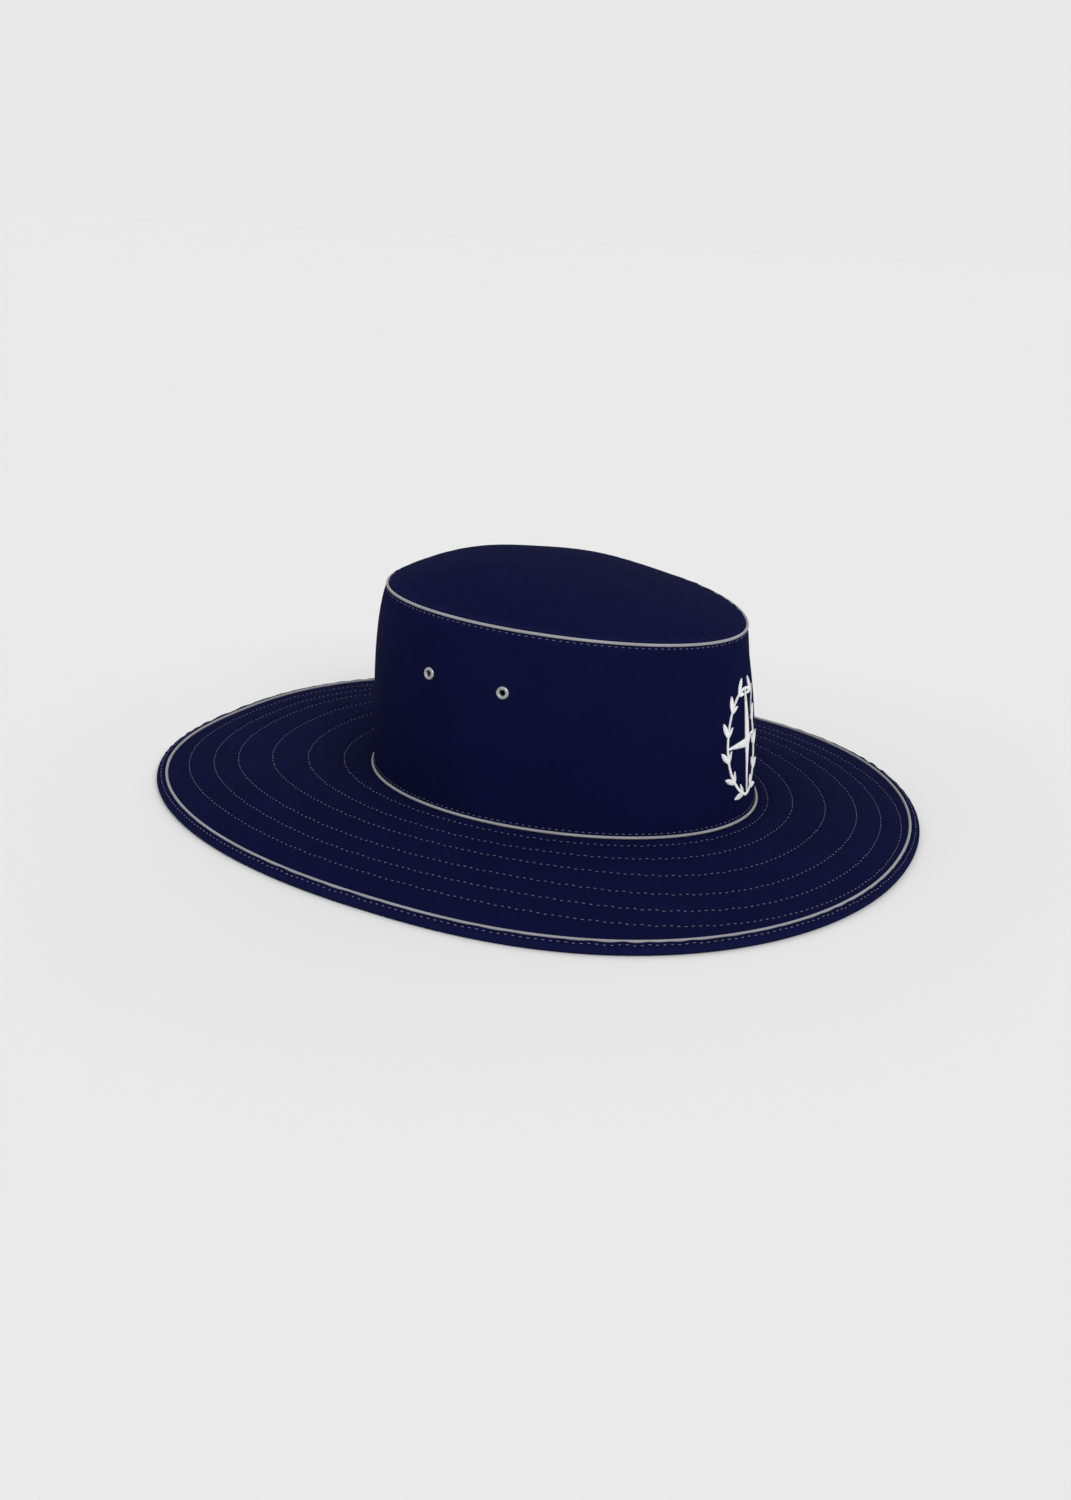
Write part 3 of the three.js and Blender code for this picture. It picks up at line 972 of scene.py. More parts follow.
class ThreadLayer:
    """Lays stitches along paths with Geometry Nodes.

    A path's points hold three attributes: "out" is the direction off the cloth, "lie" the
    direction that a stitch lies in, and "span" how long it is.
    """

    INPUTS = {
        "Spacing": "NodeSocketFloat",
        "Width": "NodeSocketFloat",
        "Height": "NodeSocketFloat",
        "Unevenness": "NodeSocketFloat",
        "Seed": "NodeSocketInt",
        "Thread": "NodeSocketMaterial",
    }
    SIDES = 6
    RINGS = 6
    LOWEST_RANDOM = 2
    HIGHEST_RANDOM = 3
    RANDOM_NUMBER = 1

    def __init__(self) -> None:
        """Builds the node tree."""
        self.tree = bpy.data.node_groups.new("laid_threads", "GeometryNodeTree")
        interface = self.tree.interface
        interface.new_socket("Paths", in_out="INPUT", socket_type="NodeSocketGeometry")
        self.sockets = {
            name: interface.new_socket(name, in_out="INPUT", socket_type=kind)
            for name, kind in self.INPUTS.items()
        }
        interface.new_socket("Stitches", in_out="OUTPUT", socket_type="NodeSocketGeometry")
        self._build(Graph(self.tree))

    def _build(self, graph: Graph) -> None:
        """Adds the nodes: resample the paths, lay a stitch at each point, realize, dress.

        Args:
            graph: Adds nodes to the layer's tree.
        """
        given = graph.node("NodeGroupInput").outputs
        curve = graph.node("GeometryNodeMeshToCurve", {}, {"Mesh": given["Paths"]}).outputs["Curve"]
        resample = {"Curve": curve, "Length": given["Spacing"]}
        points = graph.node("GeometryNodeResampleCurve", {"mode": "LENGTH"}, resample).outputs["Curve"]
        out = self._attribute(graph, "out", "FLOAT_VECTOR")
        lie = self._attribute(graph, "lie", "FLOAT_VECTOR")
        span = Value(graph, self._attribute(graph, "span", "FLOAT"))
        rough = Value(graph, given["Unevenness"])
        longer = 1.0 + self._random(graph, given["Seed"], 1.0) * rough
        thicker = 1.0 + self._random(graph, given["Seed"], 2.0) * rough
        size = graph.node("ShaderNodeCombineXYZ", {}, {
            "X": span * longer,
            "Y": Value(graph, given["Width"]) * thicker,
            "Z": Value(graph, given["Height"]) * thicker,
        }).outputs["Vector"]
        first = graph.node("FunctionNodeAlignRotationToVector", {"axis": "X"}, {"Vector": lie})
        second = graph.node(
            "FunctionNodeAlignRotationToVector",
            {"axis": "Z", "pivot_axis": "X"},
            {"Rotation": first.outputs["Rotation"], "Vector": out},
        )
        ball = {"Segments": self.SIDES, "Rings": self.RINGS, "Radius": 0.5}
        bead = graph.node("GeometryNodeMeshUVSphere", {}, ball).outputs["Mesh"]
        turned = {"Geometry": bead, "Rotation": (0.0, math.pi / 2, 0.0)}
        stitch = graph.node("GeometryNodeTransform", {}, turned).outputs["Geometry"]
        laid = graph.node("GeometryNodeInstanceOnPoints", {}, {
            "Points": points,
            "Instance": stitch,
            "Rotation": second.outputs["Rotation"],
            "Scale": size,
        })
        real = graph.node("GeometryNodeRealizeInstances", {}, {"Geometry": laid.outputs["Instances"]})
        smooth = graph.node("GeometryNodeSetShadeSmooth", {}, {"Geometry": real.outputs["Geometry"]})
        dressed = graph.node("GeometryNodeSetMaterial", {}, {
            "Geometry": smooth.outputs["Geometry"],
            "Material": given["Thread"],
        })
        graph.node("NodeGroupOutput", {}, {"Stitches": dressed.outputs["Geometry"]})

    @staticmethod
    def _attribute(graph: Graph, name: str, kind: str) -> bpy.types.NodeSocket:
        """Reads a named attribute of the path's points."""
        read = graph.node("GeometryNodeInputNamedAttribute", {"data_type": kind}, {"Name": name})
        return read.outputs["Attribute"]

    @classmethod
    def _random(cls, graph: Graph, seed: bpy.types.NodeSocket, offset: float) -> Value:
        """Gives each stitch a random number from -1 to 1.

        Args:
            graph: Adds nodes to the layer's tree.
            seed: The layer's seed.
            offset: Is added to the seed, so that each use draws other numbers.

        Returns:
            The random number.
        """
        own_seed = Value(graph, seed) + offset
        inputs = {cls.LOWEST_RANDOM: -1.0, cls.HIGHEST_RANDOM: 1.0, "Seed": own_seed}
        made = graph.node("FunctionNodeRandomValue", {"data_type": "FLOAT"}, inputs)
        return Value(graph, made.outputs[cls.RANDOM_NUMBER])

    def lay(self, paths: PathSet, thread: Thread, material: bpy.types.Material) -> bpy.types.Object:
        """Lays one thread along a set of paths.

        Args:
            paths: The paths, whose name the new piece takes.
            thread: The thread's sizes.
            material: The thread's finish.

        Returns:
            A plain mesh object that holds every stitch.
        """
        carrier = new_object(paths.name + "_paths", paths.mesh())
        modifier = carrier.modifiers.new("threads", "NODES")
        modifier.node_group = self.tree
        given = {
            "Spacing": thread.spacing,
            "Width": thread.width,
            "Height": thread.height,
            "Unevenness": thread.unevenness,
            "Seed": thread.seed,
            "Thread": material,
        }
        for key, setting in given.items():
            modifier[self.sockets[key].identifier] = setting
        mesh = plain_mesh(carrier)
        mesh.name = paths.name
        carrier.modifiers.remove(modifier)
        bpy.data.objects.remove(carrier)
        return new_object(paths.name, mesh)


class Facing(Enum):
    """The side of a surface that a thread lies on: the one that normal_of gives, or the other."""

    NORMAL = 1
    OPPOSITE = -1


def running_row(
    paths: PathSet,
    surface: Surface,
    share: Callable[[Array], Array],
    lift: float,
    span: float,
    facing: Facing = Facing.NORMAL,
    turns: int = 900,
) -> None:
    """Adds a row of running stitches that goes once round the hat.

    Args:
        paths: Takes the row.
        surface: The cloth's finished face.
        share: Gives the row's place on that face at each angle.
        lift: How far the thread's middle lies off the cloth.
        span: The length of each stitch.
        facing: The side of the surface that the thread lies on.
        turns: The number of points in the path.
    """
    angle = once_round(turns)
    place = share(angle)
    points = surface(angle, place)
    out = facing.value * normal_of(surface, angle, place)
    lie = unit(np.roll(points, -1, axis=0) - np.roll(points, 1, axis=0))
    paths.add(points + out * lift, out, lie, np.full(turns, span), closed=True)


@dataclass
class Brim:
    """The brim: one sheet with rows of stitching that pinch it into soft ridges."""

    form: HatForm
    front_rows: tuple[float, ...] = (0.08, 0.233, 0.437, 0.63, 0.78, 0.905)
    side_rows: tuple[float, ...] = (0.078, 0.215, 0.348, 0.504, 0.639, 0.765)
    back_rows: tuple[float, ...] = (0.157, 0.335, 0.513, 0.677, 0.786, 0.90)
    ridge_height: float = 0.6 * MM
    ridge_power: float = 1.3
    row_sink: float = 0.55
    under_ridge: float = 0.6
    pinch: float = 1.7 * MM
    ripple: Waves = Waves(lowest=60, highest=105, size=0.12 * MM, seed=11)
    ripple_lean: float = 0.35
    ripple_reach: float = 4 * MM
    sway: Waves = Waves(lowest=2, highest=6, size=0.5 * MM, seed=12)
    sway_gain: float = 5.2
    sway_power: float = 1.5
    worn_from: float = 0.9
    wear_climb: float = 2.5
    most_wear: float = 0.25
    rounds: int = 720
    top_steps: tuple[float, ...] = (0, 0.05, 0.12, 0.22, 0.36, 0.5, 0.64, 0.78, 0.88, 0.95)
    under_steps: tuple[float, ...] = (0, 0.12, 0.5, 0.88)
    stitch: Thread = Thread(spacing=3.0 * MM, width=0.5 * MM, height=0.44 * MM, unevenness=0.07, seed=21)
    stitch_span: float = 1.3 * MM
    stitch_lift: float = 0.06 * MM

    def row_share(self, index: int, angle: Array) -> Array:
        """Places a stitched row, or one of the brim's two edges.

        Args:
            index: Counts from the crown's edge, which is 0, over the rows to the outer edge.
            angle: Angles from the front.

        Returns:
            The brim share at each angle.
        """
        if index == 0:
            return np.zeros_like(angle)
        if index > len(self.side_rows):
            return np.ones_like(angle)
        front = np.clip(np.cos(angle), 0, 1) ** 2
        back = np.clip(-np.cos(angle), 0, 1) ** 2
        side = self.side_rows[index - 1]
        return side + (self.front_rows[index - 1] - side) * front + (self.back_rows[index - 1] - side) * back

    def knots(self, angle: Array) -> Array:
        """Gives the places of all the rows and both edges, one column for each."""
        return np.stack([self.row_share(i, angle) for i in range(len(self.side_rows) + 2)], axis=-1)

    def relief(self, angle: Array, share: Array) -> Array:
        """Works out how far the cloth puffs up between its rows.

        Args:
            angle: Angles from the front.
            share: Brim shares.

        Returns:
            The height over the plain form at each place.
        """
        width = self.form.brim_width(angle)
        distance = np.min(np.abs(share[..., None] - self.knots(angle)), axis=-1) * width
        puff = 1 - np.exp(-((distance / self.pinch) ** self.ridge_power))
        ripple = self.ripple.at(angle + self.ripple_lean * share) * np.exp(-distance / self.ripple_reach)
        return self.ridge_height * (puff - self.row_sink) + ripple

    def sag(self, angle: Array, share: Array) -> Array:
        """Gives the brim's slow sway, which dies out at the crown and at the edge."""
        inner = np.clip(share, 0, 1)
        return self.sway.at(angle) * self.sway_gain * inner**self.sway_power * (1 - inner)

    def top(self, angle: Array, share: Array) -> Array:
        """Works out points on the finished upper face.

        Args:
            angle: Angles from the front.
            share: Brim shares.

        Returns:
            The points.
        """
        points = self.form.brim(angle, share)
        points[..., 2] += self.relief(angle, share) + self.sag(angle, share)
        return points

    def under(self, angle: Array, share: Array) -> Array:
        """Works out points on the finished lower face.

        Args:
            angle: Angles from the front.
            share: Brim shares.

        Returns:
            The points.
        """
        points = self.form.brim(angle, share)
        ridges = self.relief(angle, share) * self.under_ridge
        points[..., 2] += self.sag(angle, share) - ridges - self.form.brim_wall
        return points

    def share_grid(self, angle: Array, steps: Sequence[float]) -> Array:
        """Spreads shares over the brim.

        Args:
            angle: Angles from the front.
            steps: Places between one row and the next, from 0 to below 1.

        Returns:
            One row of shares for each angle, from 0 to 1.
        """
        knots = self.knots(angle)
        gaps = range(knots.shape[1] - 1)
        shares = [mix(knots[:, i], knots[:, i + 1], step) for i in gaps for step in steps]
        return np.stack([*shares, knots[:, -1]], axis=-1)

    def build(self, cloth: bpy.types.Material) -> None:
        """Makes the sheet.

        Args:
            cloth: The cloth's finish.
        """
        angle = once_round(self.rounds)
        upper = self.share_grid(angle, self.top_steps)
        lower = self.share_grid(angle, self.under_steps)[:, ::-1]
        inside = self.form.base_oval.outside(angle, -self.form.crown_wall)
        seam = self.form.base_seam.at(angle)
        lip_top = raised(inside, seam)[:, None]
        lip_under = raised(inside, seam - self.form.brim_wall)[:, None]
        top = self.top(*np.broadcast_arrays(angle[:, None], upper))
        under = self.under(*np.broadcast_arrays(angle[:, None], lower))
        grid = np.concatenate([lip_top, top, under, lip_under], axis=1)
        mesh = ring_mesh("brim_cloth", grid, wrapped(grid[..., :2]))
        shares = np.pad(np.concatenate([upper, lower], axis=1), ((0, 0), (1, 1)))
        set_wear(mesh, np.clip((shares - self.worn_from) * self.wear_climb, 0, self.most_wear))
        add_to_part(new_object("brim_cloth", mesh, cloth), "navy_cotton", "brim")

    def sew(self, threads: ThreadLayer, thread: bpy.types.Material) -> None:
        """Lays the rows of stitches on both faces.

        Args:
            threads: Lays the stitches.
            thread: The thread's finish.
        """
        sides = (
            ("brim_stitches", self.top, Facing.OPPOSITE),
            ("brim_stitches_under", self.under, Facing.NORMAL),
        )
        for name, face, facing in sides:
            paths = PathSet(name)
            for index in range(1, len(self.side_rows) + 1):
                share = partial(self.row_share, index)
                running_row(paths, face, share, self.stitch_lift, self.stitch_span, facing)
            add_to_part(threads.lay(paths, self.stitch, thread), "grey_cord")


@dataclass
class Binding:
    """The tape folded round the brim's edge, with one row of stitches."""

    form: HatForm
    rounds: int = 720
    edge_reach: float = 1.7 * MM
    edge_steps: int = 6
    top_steps: int = 6
    foot_reach: float = 3.2 * MM
    foot_steps: int = 3
    lip: float = 0.12 * MM
    lip_reach: float = 0.5 * MM
    lining_reach: float = 2.0 * MM
    row_inward: float = 2.1 * MM
    pinch_depth: float = 0.16 * MM
    pinch_reach: float = 0.6 * MM
    ripple: Waves = Waves(lowest=70, highest=130, size=0.12 * MM, seed=31)
    ripple_from: float = 0.1 * MM
    wear_reach: float = 0.9 * MM
    most_wear: float = 0.3
    stitch: Thread = Thread(spacing=3.0 * MM, width=0.46 * MM, height=0.42 * MM, unevenness=0.07, seed=32)
    stitch_span: float = 1.3 * MM
    stitch_lift: float = 0.08 * MM
    stitch_turns: int = 1200

    def profile(self) -> Array:
        """Lists the tape's section, from its upper lip round the edge to the lower one and back inside.

        Returns:
            Rows of three numbers: the distance in from the brim's edge, the height above the
            cloth's upper face, and how far the place follows the brim's slope, from 0 to 1.
        """
        form, reach = self.form, self.edge_reach
        skin, width = form.binding_skin, form.binding_width
        top = form.seam_gap + skin
        foot = form.brim_wall + form.seam_gap + skin
        half = (top + foot) / 2
        centre = (top - foot) / 2
        rows = [(width, top - self.lip, 1.0), (width - self.lip, top, 1.0)]
        for k in range(self.top_steps + 1):
            rows.append((mix(width - self.lip_reach, reach, k / self.top_steps), top, 1.0))
        for k in range(1, 2 * self.edge_steps):
            turn = math.pi / 2 * (1 - k / self.edge_steps)
            inward = reach * (1 - math.cos(turn))
            rows.append((inward, centre + half * math.sin(turn), max(math.sin(turn), 0.0)))
        for k in range(self.foot_steps + 1):
            rows.append((mix(reach, self.foot_reach, k / self.foot_steps), -foot, 0.0))
        rows += [(width, -foot, 1.0), (width, skin - foot, 1.0)]
        rows += [(self.foot_reach, skin - foot, 0.0), (skin, skin - foot, 0.0), (skin, form.seam_gap, 0.0)]
        rows += [(self.lining_reach, form.seam_gap, 1.0), (width, form.seam_gap, 1.0)]
        return np.array(rows)

    def height(self, angle: Array, inward: Array, above: Array, slope: Number) -> Array:
        """Works out the level of places of the section.

        Args:
            angle: Angles from the front.
            inward: Distances in from the brim's edge.
            above: Heights above the cloth's upper face.
            slope: How far each place follows the brim's slope, from 0 to 1.

        Returns:
            The levels above the table.
        """
        share = self.form.brim_share_inside(angle, inward)
        sloped = self.form.brim(angle, share)[..., 2]
        return mix(self.form.brim_edge_top, sloped, slope) + above

    def pinched(self, inward: Array) -> Array:
        """Gives how deep the stitches pull the tape in."""
        return self.pinch_depth * np.exp(-(((inward - self.row_inward) / self.pinch_reach) ** 2))

    def upper(self, angle: Array, share: Array) -> Array:
        """Works out points on the tape's upper face.

        Args:
            angle: Angles from the front.
            share: 0 is at the rounded edge, 1 at the cord.

        Returns:
            The points.
        """
        inward = mix(self.edge_reach, self.form.binding_width, share)
        above = self.form.seam_gap + self.form.binding_skin
        level = self.height(angle, inward, above - self.pinched(inward), 1.0) + self.ripple.at(angle)
        return raised(self.form.brim_oval.outside(angle, -inward), level)

    def build(self, cloth: bpy.types.Material) -> None:
        """Makes the tape.

        Args:
            cloth: The cloth's finish.
        """
        rows = self.profile()
        around, inward, above, slope = np.broadcast_arrays(once_round(self.rounds)[:, None], *rows.T)
        on_top = (above > self.form.seam_gap + self.ripple_from).astype(float)
        level = self.height(around, inward, above - self.pinched(inward) * on_top, slope)
        level = level + self.ripple.at(around) * on_top
        grid = raised(self.form.brim_oval.outside(around, -inward), level)
        tape = np.linalg.norm(np.diff(rows[:, :2], axis=0, append=rows[:1, :2]), axis=1)
        across = np.concatenate([[0.0], np.cumsum(tape)])
        girth = self.form.brim_oval.girth(self.rounds)
        cloth_map = np.stack(np.meshgrid(girth, across, indexing="ij"), axis=-1)
        mesh = ring_mesh("binding_tape", grid, cloth_map)
        set_wear(mesh, np.exp(-((inward / self.wear_reach) ** 2)) * self.most_wear)
        add_to_part(new_object("binding_tape", mesh, cloth), "navy_cotton", "brim_binding")

    def sew(self, threads: ThreadLayer, thread: bpy.types.Material) -> None:
        """Lays the row of stitches that holds the tape.

        Args:
            threads: Lays the stitches.
            thread: The thread's finish.
        """
        paths = PathSet("binding_stitches")
        share = (self.row_inward - self.edge_reach) / (self.form.binding_width - self.edge_reach)
        even = partial(np.full_like, fill_value=share)
        running_row(paths, self.upper, even, self.stitch_lift, self.stitch_span, turns=self.stitch_turns)
        add_to_part(threads.lay(paths, self.stitch, thread), "grey_cord")


@dataclass
class SideBand:
    """The side band, with soft dents, puckers at its seams, and a felled seam at the back."""

    form: HatForm
    rounds: int = 640
    outer_rows: int = 54
    inner_rows: int = 20
    crowding: float = 0.14
    top_drop: float = 0.45 * MM
    tuck_depth: float = 1.1 * MM
    tuck_reach: float = 1.5 * MM
    groove_depth: float = 0.2 * MM
    groove_reach: float = 0.7 * MM
    dents: Waves = Waves(lowest=2, highest=7, size=0.55 * MM, seed=41)
    dent_lean: float = 0.5
    folds: Waves = Waves(lowest=11, highest=24, size=0.26 * MM, seed=45)
    fold_lean: float = -0.3
    belly_power: float = 0.8
    low_puckers: Waves = Waves(lowest=42, highest=78, size=0.17 * MM, seed=42)
    high_puckers: Waves = Waves(lowest=42, highest=78, size=0.2 * MM, seed=43)
    pucker_reach: float = 7 * MM
    low_row: float = 2.05 * MM
    high_row: float = 1.6 * MM
    stitch: Thread = Thread(spacing=3.0 * MM, width=0.42 * MM, height=0.4 * MM, unevenness=0.07, seed=44)
    stitch_span: float = 1.25 * MM
    stitch_lift: float = 0.06 * MM
    back_seam_width: float = 7.5 * MM
    back_seam_lift: float = 0.35 * MM
    back_seam_edge: float = 0.008
    back_row_inset: float = 1.2 * MM
    back_row_range: tuple[float, float] = (0.05, 0.955)
    back_row_points: int = 60
    wear_fade: float = 60.0
    most_wear: float = 0.5

    def relief(self, angle: Array, height: Array) -> Array:
        """Works out how far the finished cloth lies off the plain form.

        Args:
            angle: Angles from the front.
            height: Shares of the band's height.

        Returns:
            The distance outwards at each place.
        """
        tall = self.form.band_tall(angle)
        low = height * tall
        high = (1 - height) * tall
        belly = np.sin(math.pi * np.clip(height, 0, 1)) ** self.belly_power
        puckers = self.low_puckers.at(angle) * np.exp(-low / self.pucker_reach)
        puckers = puckers + self.high_puckers.at(angle) * np.exp(-high / self.pucker_reach)
        groove = np.exp(-(((low - self.low_row) / self.groove_reach) ** 2))
        groove = groove + np.exp(-(((high - self.high_row) / self.groove_reach) ** 2))
        tuck = self.tuck_depth * np.clip(1 - high / self.tuck_reach, 0, 1) ** 2
        half = self.back_seam_width / 2 / self.form.base_oval.half_length
        from_back = np.abs(np.angle(np.exp(1j * (angle - math.pi))))
        fell = self.back_seam_lift * np.clip((half - from_back) / self.back_seam_edge + 0.5, 0, 1)
        dents = self.dents.at(angle + self.dent_lean * height) * belly
        dents = dents + self.folds.at(angle + self.fold_lean * height) * belly
        return dents + puckers + fell - tuck - self.groove_depth * groove

    def off_form(self, angle: Array, height: Array, distance: Array) -> Array:
        """Gives points a distance off the plain form."""
        out = normal_of(self.form.band, angle, height)
        return self.form.band(angle, height) + out * distance[..., None]

    def face(self, angle: Array, height: Array) -> Array:
        """Gives points on the finished outer face."""
        return self.off_form(angle, height, self.relief(angle, height))

    def lining_side(self, angle: Array, height: Array) -> Array:
        """Gives points on the finished inner face."""
        return self.off_form(angle, height, self.relief(angle, height) - self.form.crown_wall)

    def low_share(self, angle: Array) -> Array:
        """Places the row beside the base seam."""
        return self.low_row / self.form.band_tall(angle)

    def high_share(self, angle: Array) -> Array:
        """Places the row beside the top seam."""
        return 1 - self.high_row / self.form.band_tall(angle)

    def build(self, cloth: bpy.types.Material, punches: list[bpy.types.Object]) -> None:
        """Makes the band and cuts the eyelets' holes through it.

        Args:
            cloth: The cloth's finish.
            punches: The solids that cut the holes, which are used up.
        """
        angle = once_round(self.rounds)
        tall = self.form.band_tall(angle)
        low = (self.form.seam_gap / tall)[:, None]
        high = (1 - self.top_drop / tall)[:, None]
        even = np.linspace(0, 1, self.outer_rows)
        outer = mix(low, high, (even - np.sin(even * TURN) * self.crowding)[None])
        inner = mix(low, high, np.linspace(1, 0, self.inner_rows)[None])
        face = self.face(*np.broadcast_arrays(angle[:, None], outer))
        back = self.lining_side(*np.broadcast_arrays(angle[:, None], inner))
        grid = np.concatenate([face, back], axis=1)
        girth = self.form.base_oval.girth(self.rounds)
        cloth_map = np.stack(np.broadcast_arrays(girth[:, None], wrapped(grid[..., 2])), axis=-1)
        mesh = ring_mesh("side_band_cloth", grid, cloth_map)
        shares = np.concatenate([outer, np.full_like(inner, 0.5)], axis=1)
        set_wear(mesh, np.exp(-(1 - shares) * self.wear_fade) * self.most_wear)
        band = new_object("side_band_cloth", mesh, cloth)
        for punch in punches:
            cut = band.modifiers.new("hole", "BOOLEAN")
            cut.object = punch
            cut.operation = "DIFFERENCE"
            cut.solver = "EXACT"
        holed = plain_mesh(band)
        band.modifiers.clear()
        band.data = holed
        for punch in punches:
            bpy.data.objects.remove(punch)
        add_to_part(band, "navy_cotton", "crown_side_band")

    def sew(self, threads: ThreadLayer, thread: bpy.types.Material) -> None:
        """Lays the rows beside the two seams, and the two rows down the back seam.

        Args:
            threads: Lays the stitches.
            thread: The thread's finish.
        """
        paths = PathSet("band_stitches")
        for share in (self.low_share, self.high_share):
            running_row(paths, self.face, share, self.stitch_lift, self.stitch_span)
        heights = np.linspace(*self.back_row_range, self.back_row_points)
        spans = np.full(len(heights), self.stitch_span)
        half = (self.back_seam_width / 2 - self.back_row_inset) / self.form.base_oval.half_length
        for side in (-1, 1):
            angle = np.full_like(heights, math.pi + side * half)
            points = self.face(angle, heights)
            out = normal_of(self.form.band, angle, heights)
            lie = unit(np.gradient(points, axis=0))
            paths.add(points + out * self.stitch_lift, out, lie, spans, closed=False)
        add_to_part(threads.lay(paths, self.stitch, thread), "grey_cord")


@dataclass
class CrownTip:
    """The domed tip panel, with slight tension lines that run in from its seam."""

    form: HatForm
    rounds: int = 600
    rows: int = 50
    under_rows: int = 20
    row_power: float = 0.9
    smallest_reach: float = 0.012
    puckers: Waves = Waves(lowest=38, highest=74, size=0.17 * MM, seed=51)
    pucker_reach: float = 9 * MM
    sway: Waves = Waves(lowest=2, highest=6, size=0.4 * MM, seed=52)
    sway_gain: float = 4.0
    seam_fold: float = 0.75 * MM
    fold_power: int = 30
    wear_fade: float = 40.0
    most_wear: float = 0.5

    def relief(self, angle: Array, reach: Array) -> Array:
        """Works out how far the finished cloth lies off the plain dome.

        Args:
            angle: Angles from the front.
            reach: Shares of the way out from the middle.

        Returns:
            The distance upwards at each place.
        """
        inward = (1 - reach) * self.form.top_oval.half_width
        puckers = self.puckers.at(angle) * np.exp(-inward / self.pucker_reach)
        return puckers + self.sway.at(angle) * reach**2 * (1 - reach) * self.sway_gain

    def face(self, angle: Array, reach: Array) -> Array:
        """Works out points on the finished outer face.

        Args:
            angle: Angles from the front.
            reach: Shares of the way out from the middle.

        Returns:
            The points.
        """
        points = self.form.tip(angle, reach)
        points[..., 2] += self.relief(angle, reach)
        return points

    def build(self, cloth: bpy.types.Material) -> None:
        """Makes the panel.

        Args:
            cloth: The cloth's finish.
        """
        around = once_round(self.rounds)[:, None]
        even = np.linspace(0, 1, self.rows)
        outer = mix(self.smallest_reach, 1.0, np.sin(even * math.pi / 2) ** self.row_power)
        inner = np.linspace(1, self.smallest_reach, self.under_rows)
        top = self.face(*np.broadcast_arrays(around, outer[None]))
        under = self.face(*np.broadcast_arrays(around, inner[None]))
        under[..., 2] -= self.form.crown_wall + self.seam_fold * inner**self.fold_power
        grid = np.concatenate([top, under], axis=1)
        middle = self.form.tip(np.zeros(1), np.zeros(1))
        poles = np.concatenate([middle, middle - [0, 0, self.form.crown_wall]])
        mesh = ring_mesh("tip_cloth", grid, wrapped(grid[..., :2]), poles)
        reach = np.broadcast_to(np.concatenate([outer, np.zeros_like(inner)]), grid.shape[:2])
        set_wear(mesh, np.exp(-(1 - reach) * self.wear_fade) * self.most_wear)
        add_to_part(new_object("tip_cloth", mesh, cloth), "navy_cotton", "crown_tip")


@dataclass
class Pipings:
    """The three rounds of cord: round the tip, round the foot of the crown, and inside the binding."""

    form: HatForm
    rounds: int = 600
    binding_rounds: int = 900
    sides: int = 12
    clearance: float = 0.06 * MM
    binding_gap: float = 0.15 * MM

    @property
    def clear(self) -> float:
        """How far a cord's middle stays off the cloth that it lies on."""
        return self.form.piping_radius + self.clearance

    def top(self, angle: Array) -> Array:
        """Runs along the seam between the band and the tip."""
        return raised(self.form.top_oval.point(angle), self.form.top_seam.at(angle))

    def base(self, angle: Array) -> Array:
        """Runs in the corner between the band and the brim."""
        plan = self.form.base_oval.outside(angle, self.clear)
        return raised(plan, self.form.base_seam.at(angle) + self.clear)

    def binding(self, angle: Array) -> Array:
        """Runs along the inner edge of the binding.

        Args:
            angle: Angles from the front.

        Returns:
            The cord's middle at each angle.
        """
        inward = self.form.binding_width + self.form.piping_radius + self.binding_gap
        share = self.form.brim_share_inside(angle, inward)
        level = self.form.brim(angle, share)[:, 2] + self.clear
        return raised(self.form.brim_oval.outside(angle, -inward), level)

    def build(self, cord: bpy.types.Material) -> None:
        """Makes the three cords.

        Args:
            cord: Their finish.
        """
        self._cord("top_piping", self.top, self.form.top_oval, self.rounds, cord)
        self._cord("base_piping", self.base, self.form.base_oval, self.rounds, cord)
        self._cord("binding_piping", self.binding, self.form.brim_oval, self.binding_rounds, cord)

    def _cord(
        self,
        node: str,
        middle: Callable[[Array], Array],
        oval: Oval,
        rounds: int,
        cord: bpy.types.Material,
    ) -> None:
        """Makes one round of cord.

        Args:
            node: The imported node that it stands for.
            middle: Gives the cord's middle at each angle.
            oval: The oval that it follows in plan.
            rounds: The number of points along it.
            cord: Its finish.
        """
        angle = once_round(rounds)
        turn = once_round(self.sides)[None, :, None]
        out = np.pad(oval.out(angle), ((0, 0), (0, 1)))[:, None]
        up = np.array([0.0, 0.0, 1.0])
        grid = middle(angle)[:, None] + self.form.piping_radius * (out * np.cos(turn) + up * np.sin(turn))
        around = np.arange(self.sides + 1) / self.sides
        cloth_map = np.stack(np.meshgrid(oval.girth(rounds), around, indexing="ij"), axis=-1)
        mesh = ring_mesh(node + "_cord", grid, cloth_map)
        add_to_part(new_object(node + "_cord", mesh, cord), "grey_cord", node)


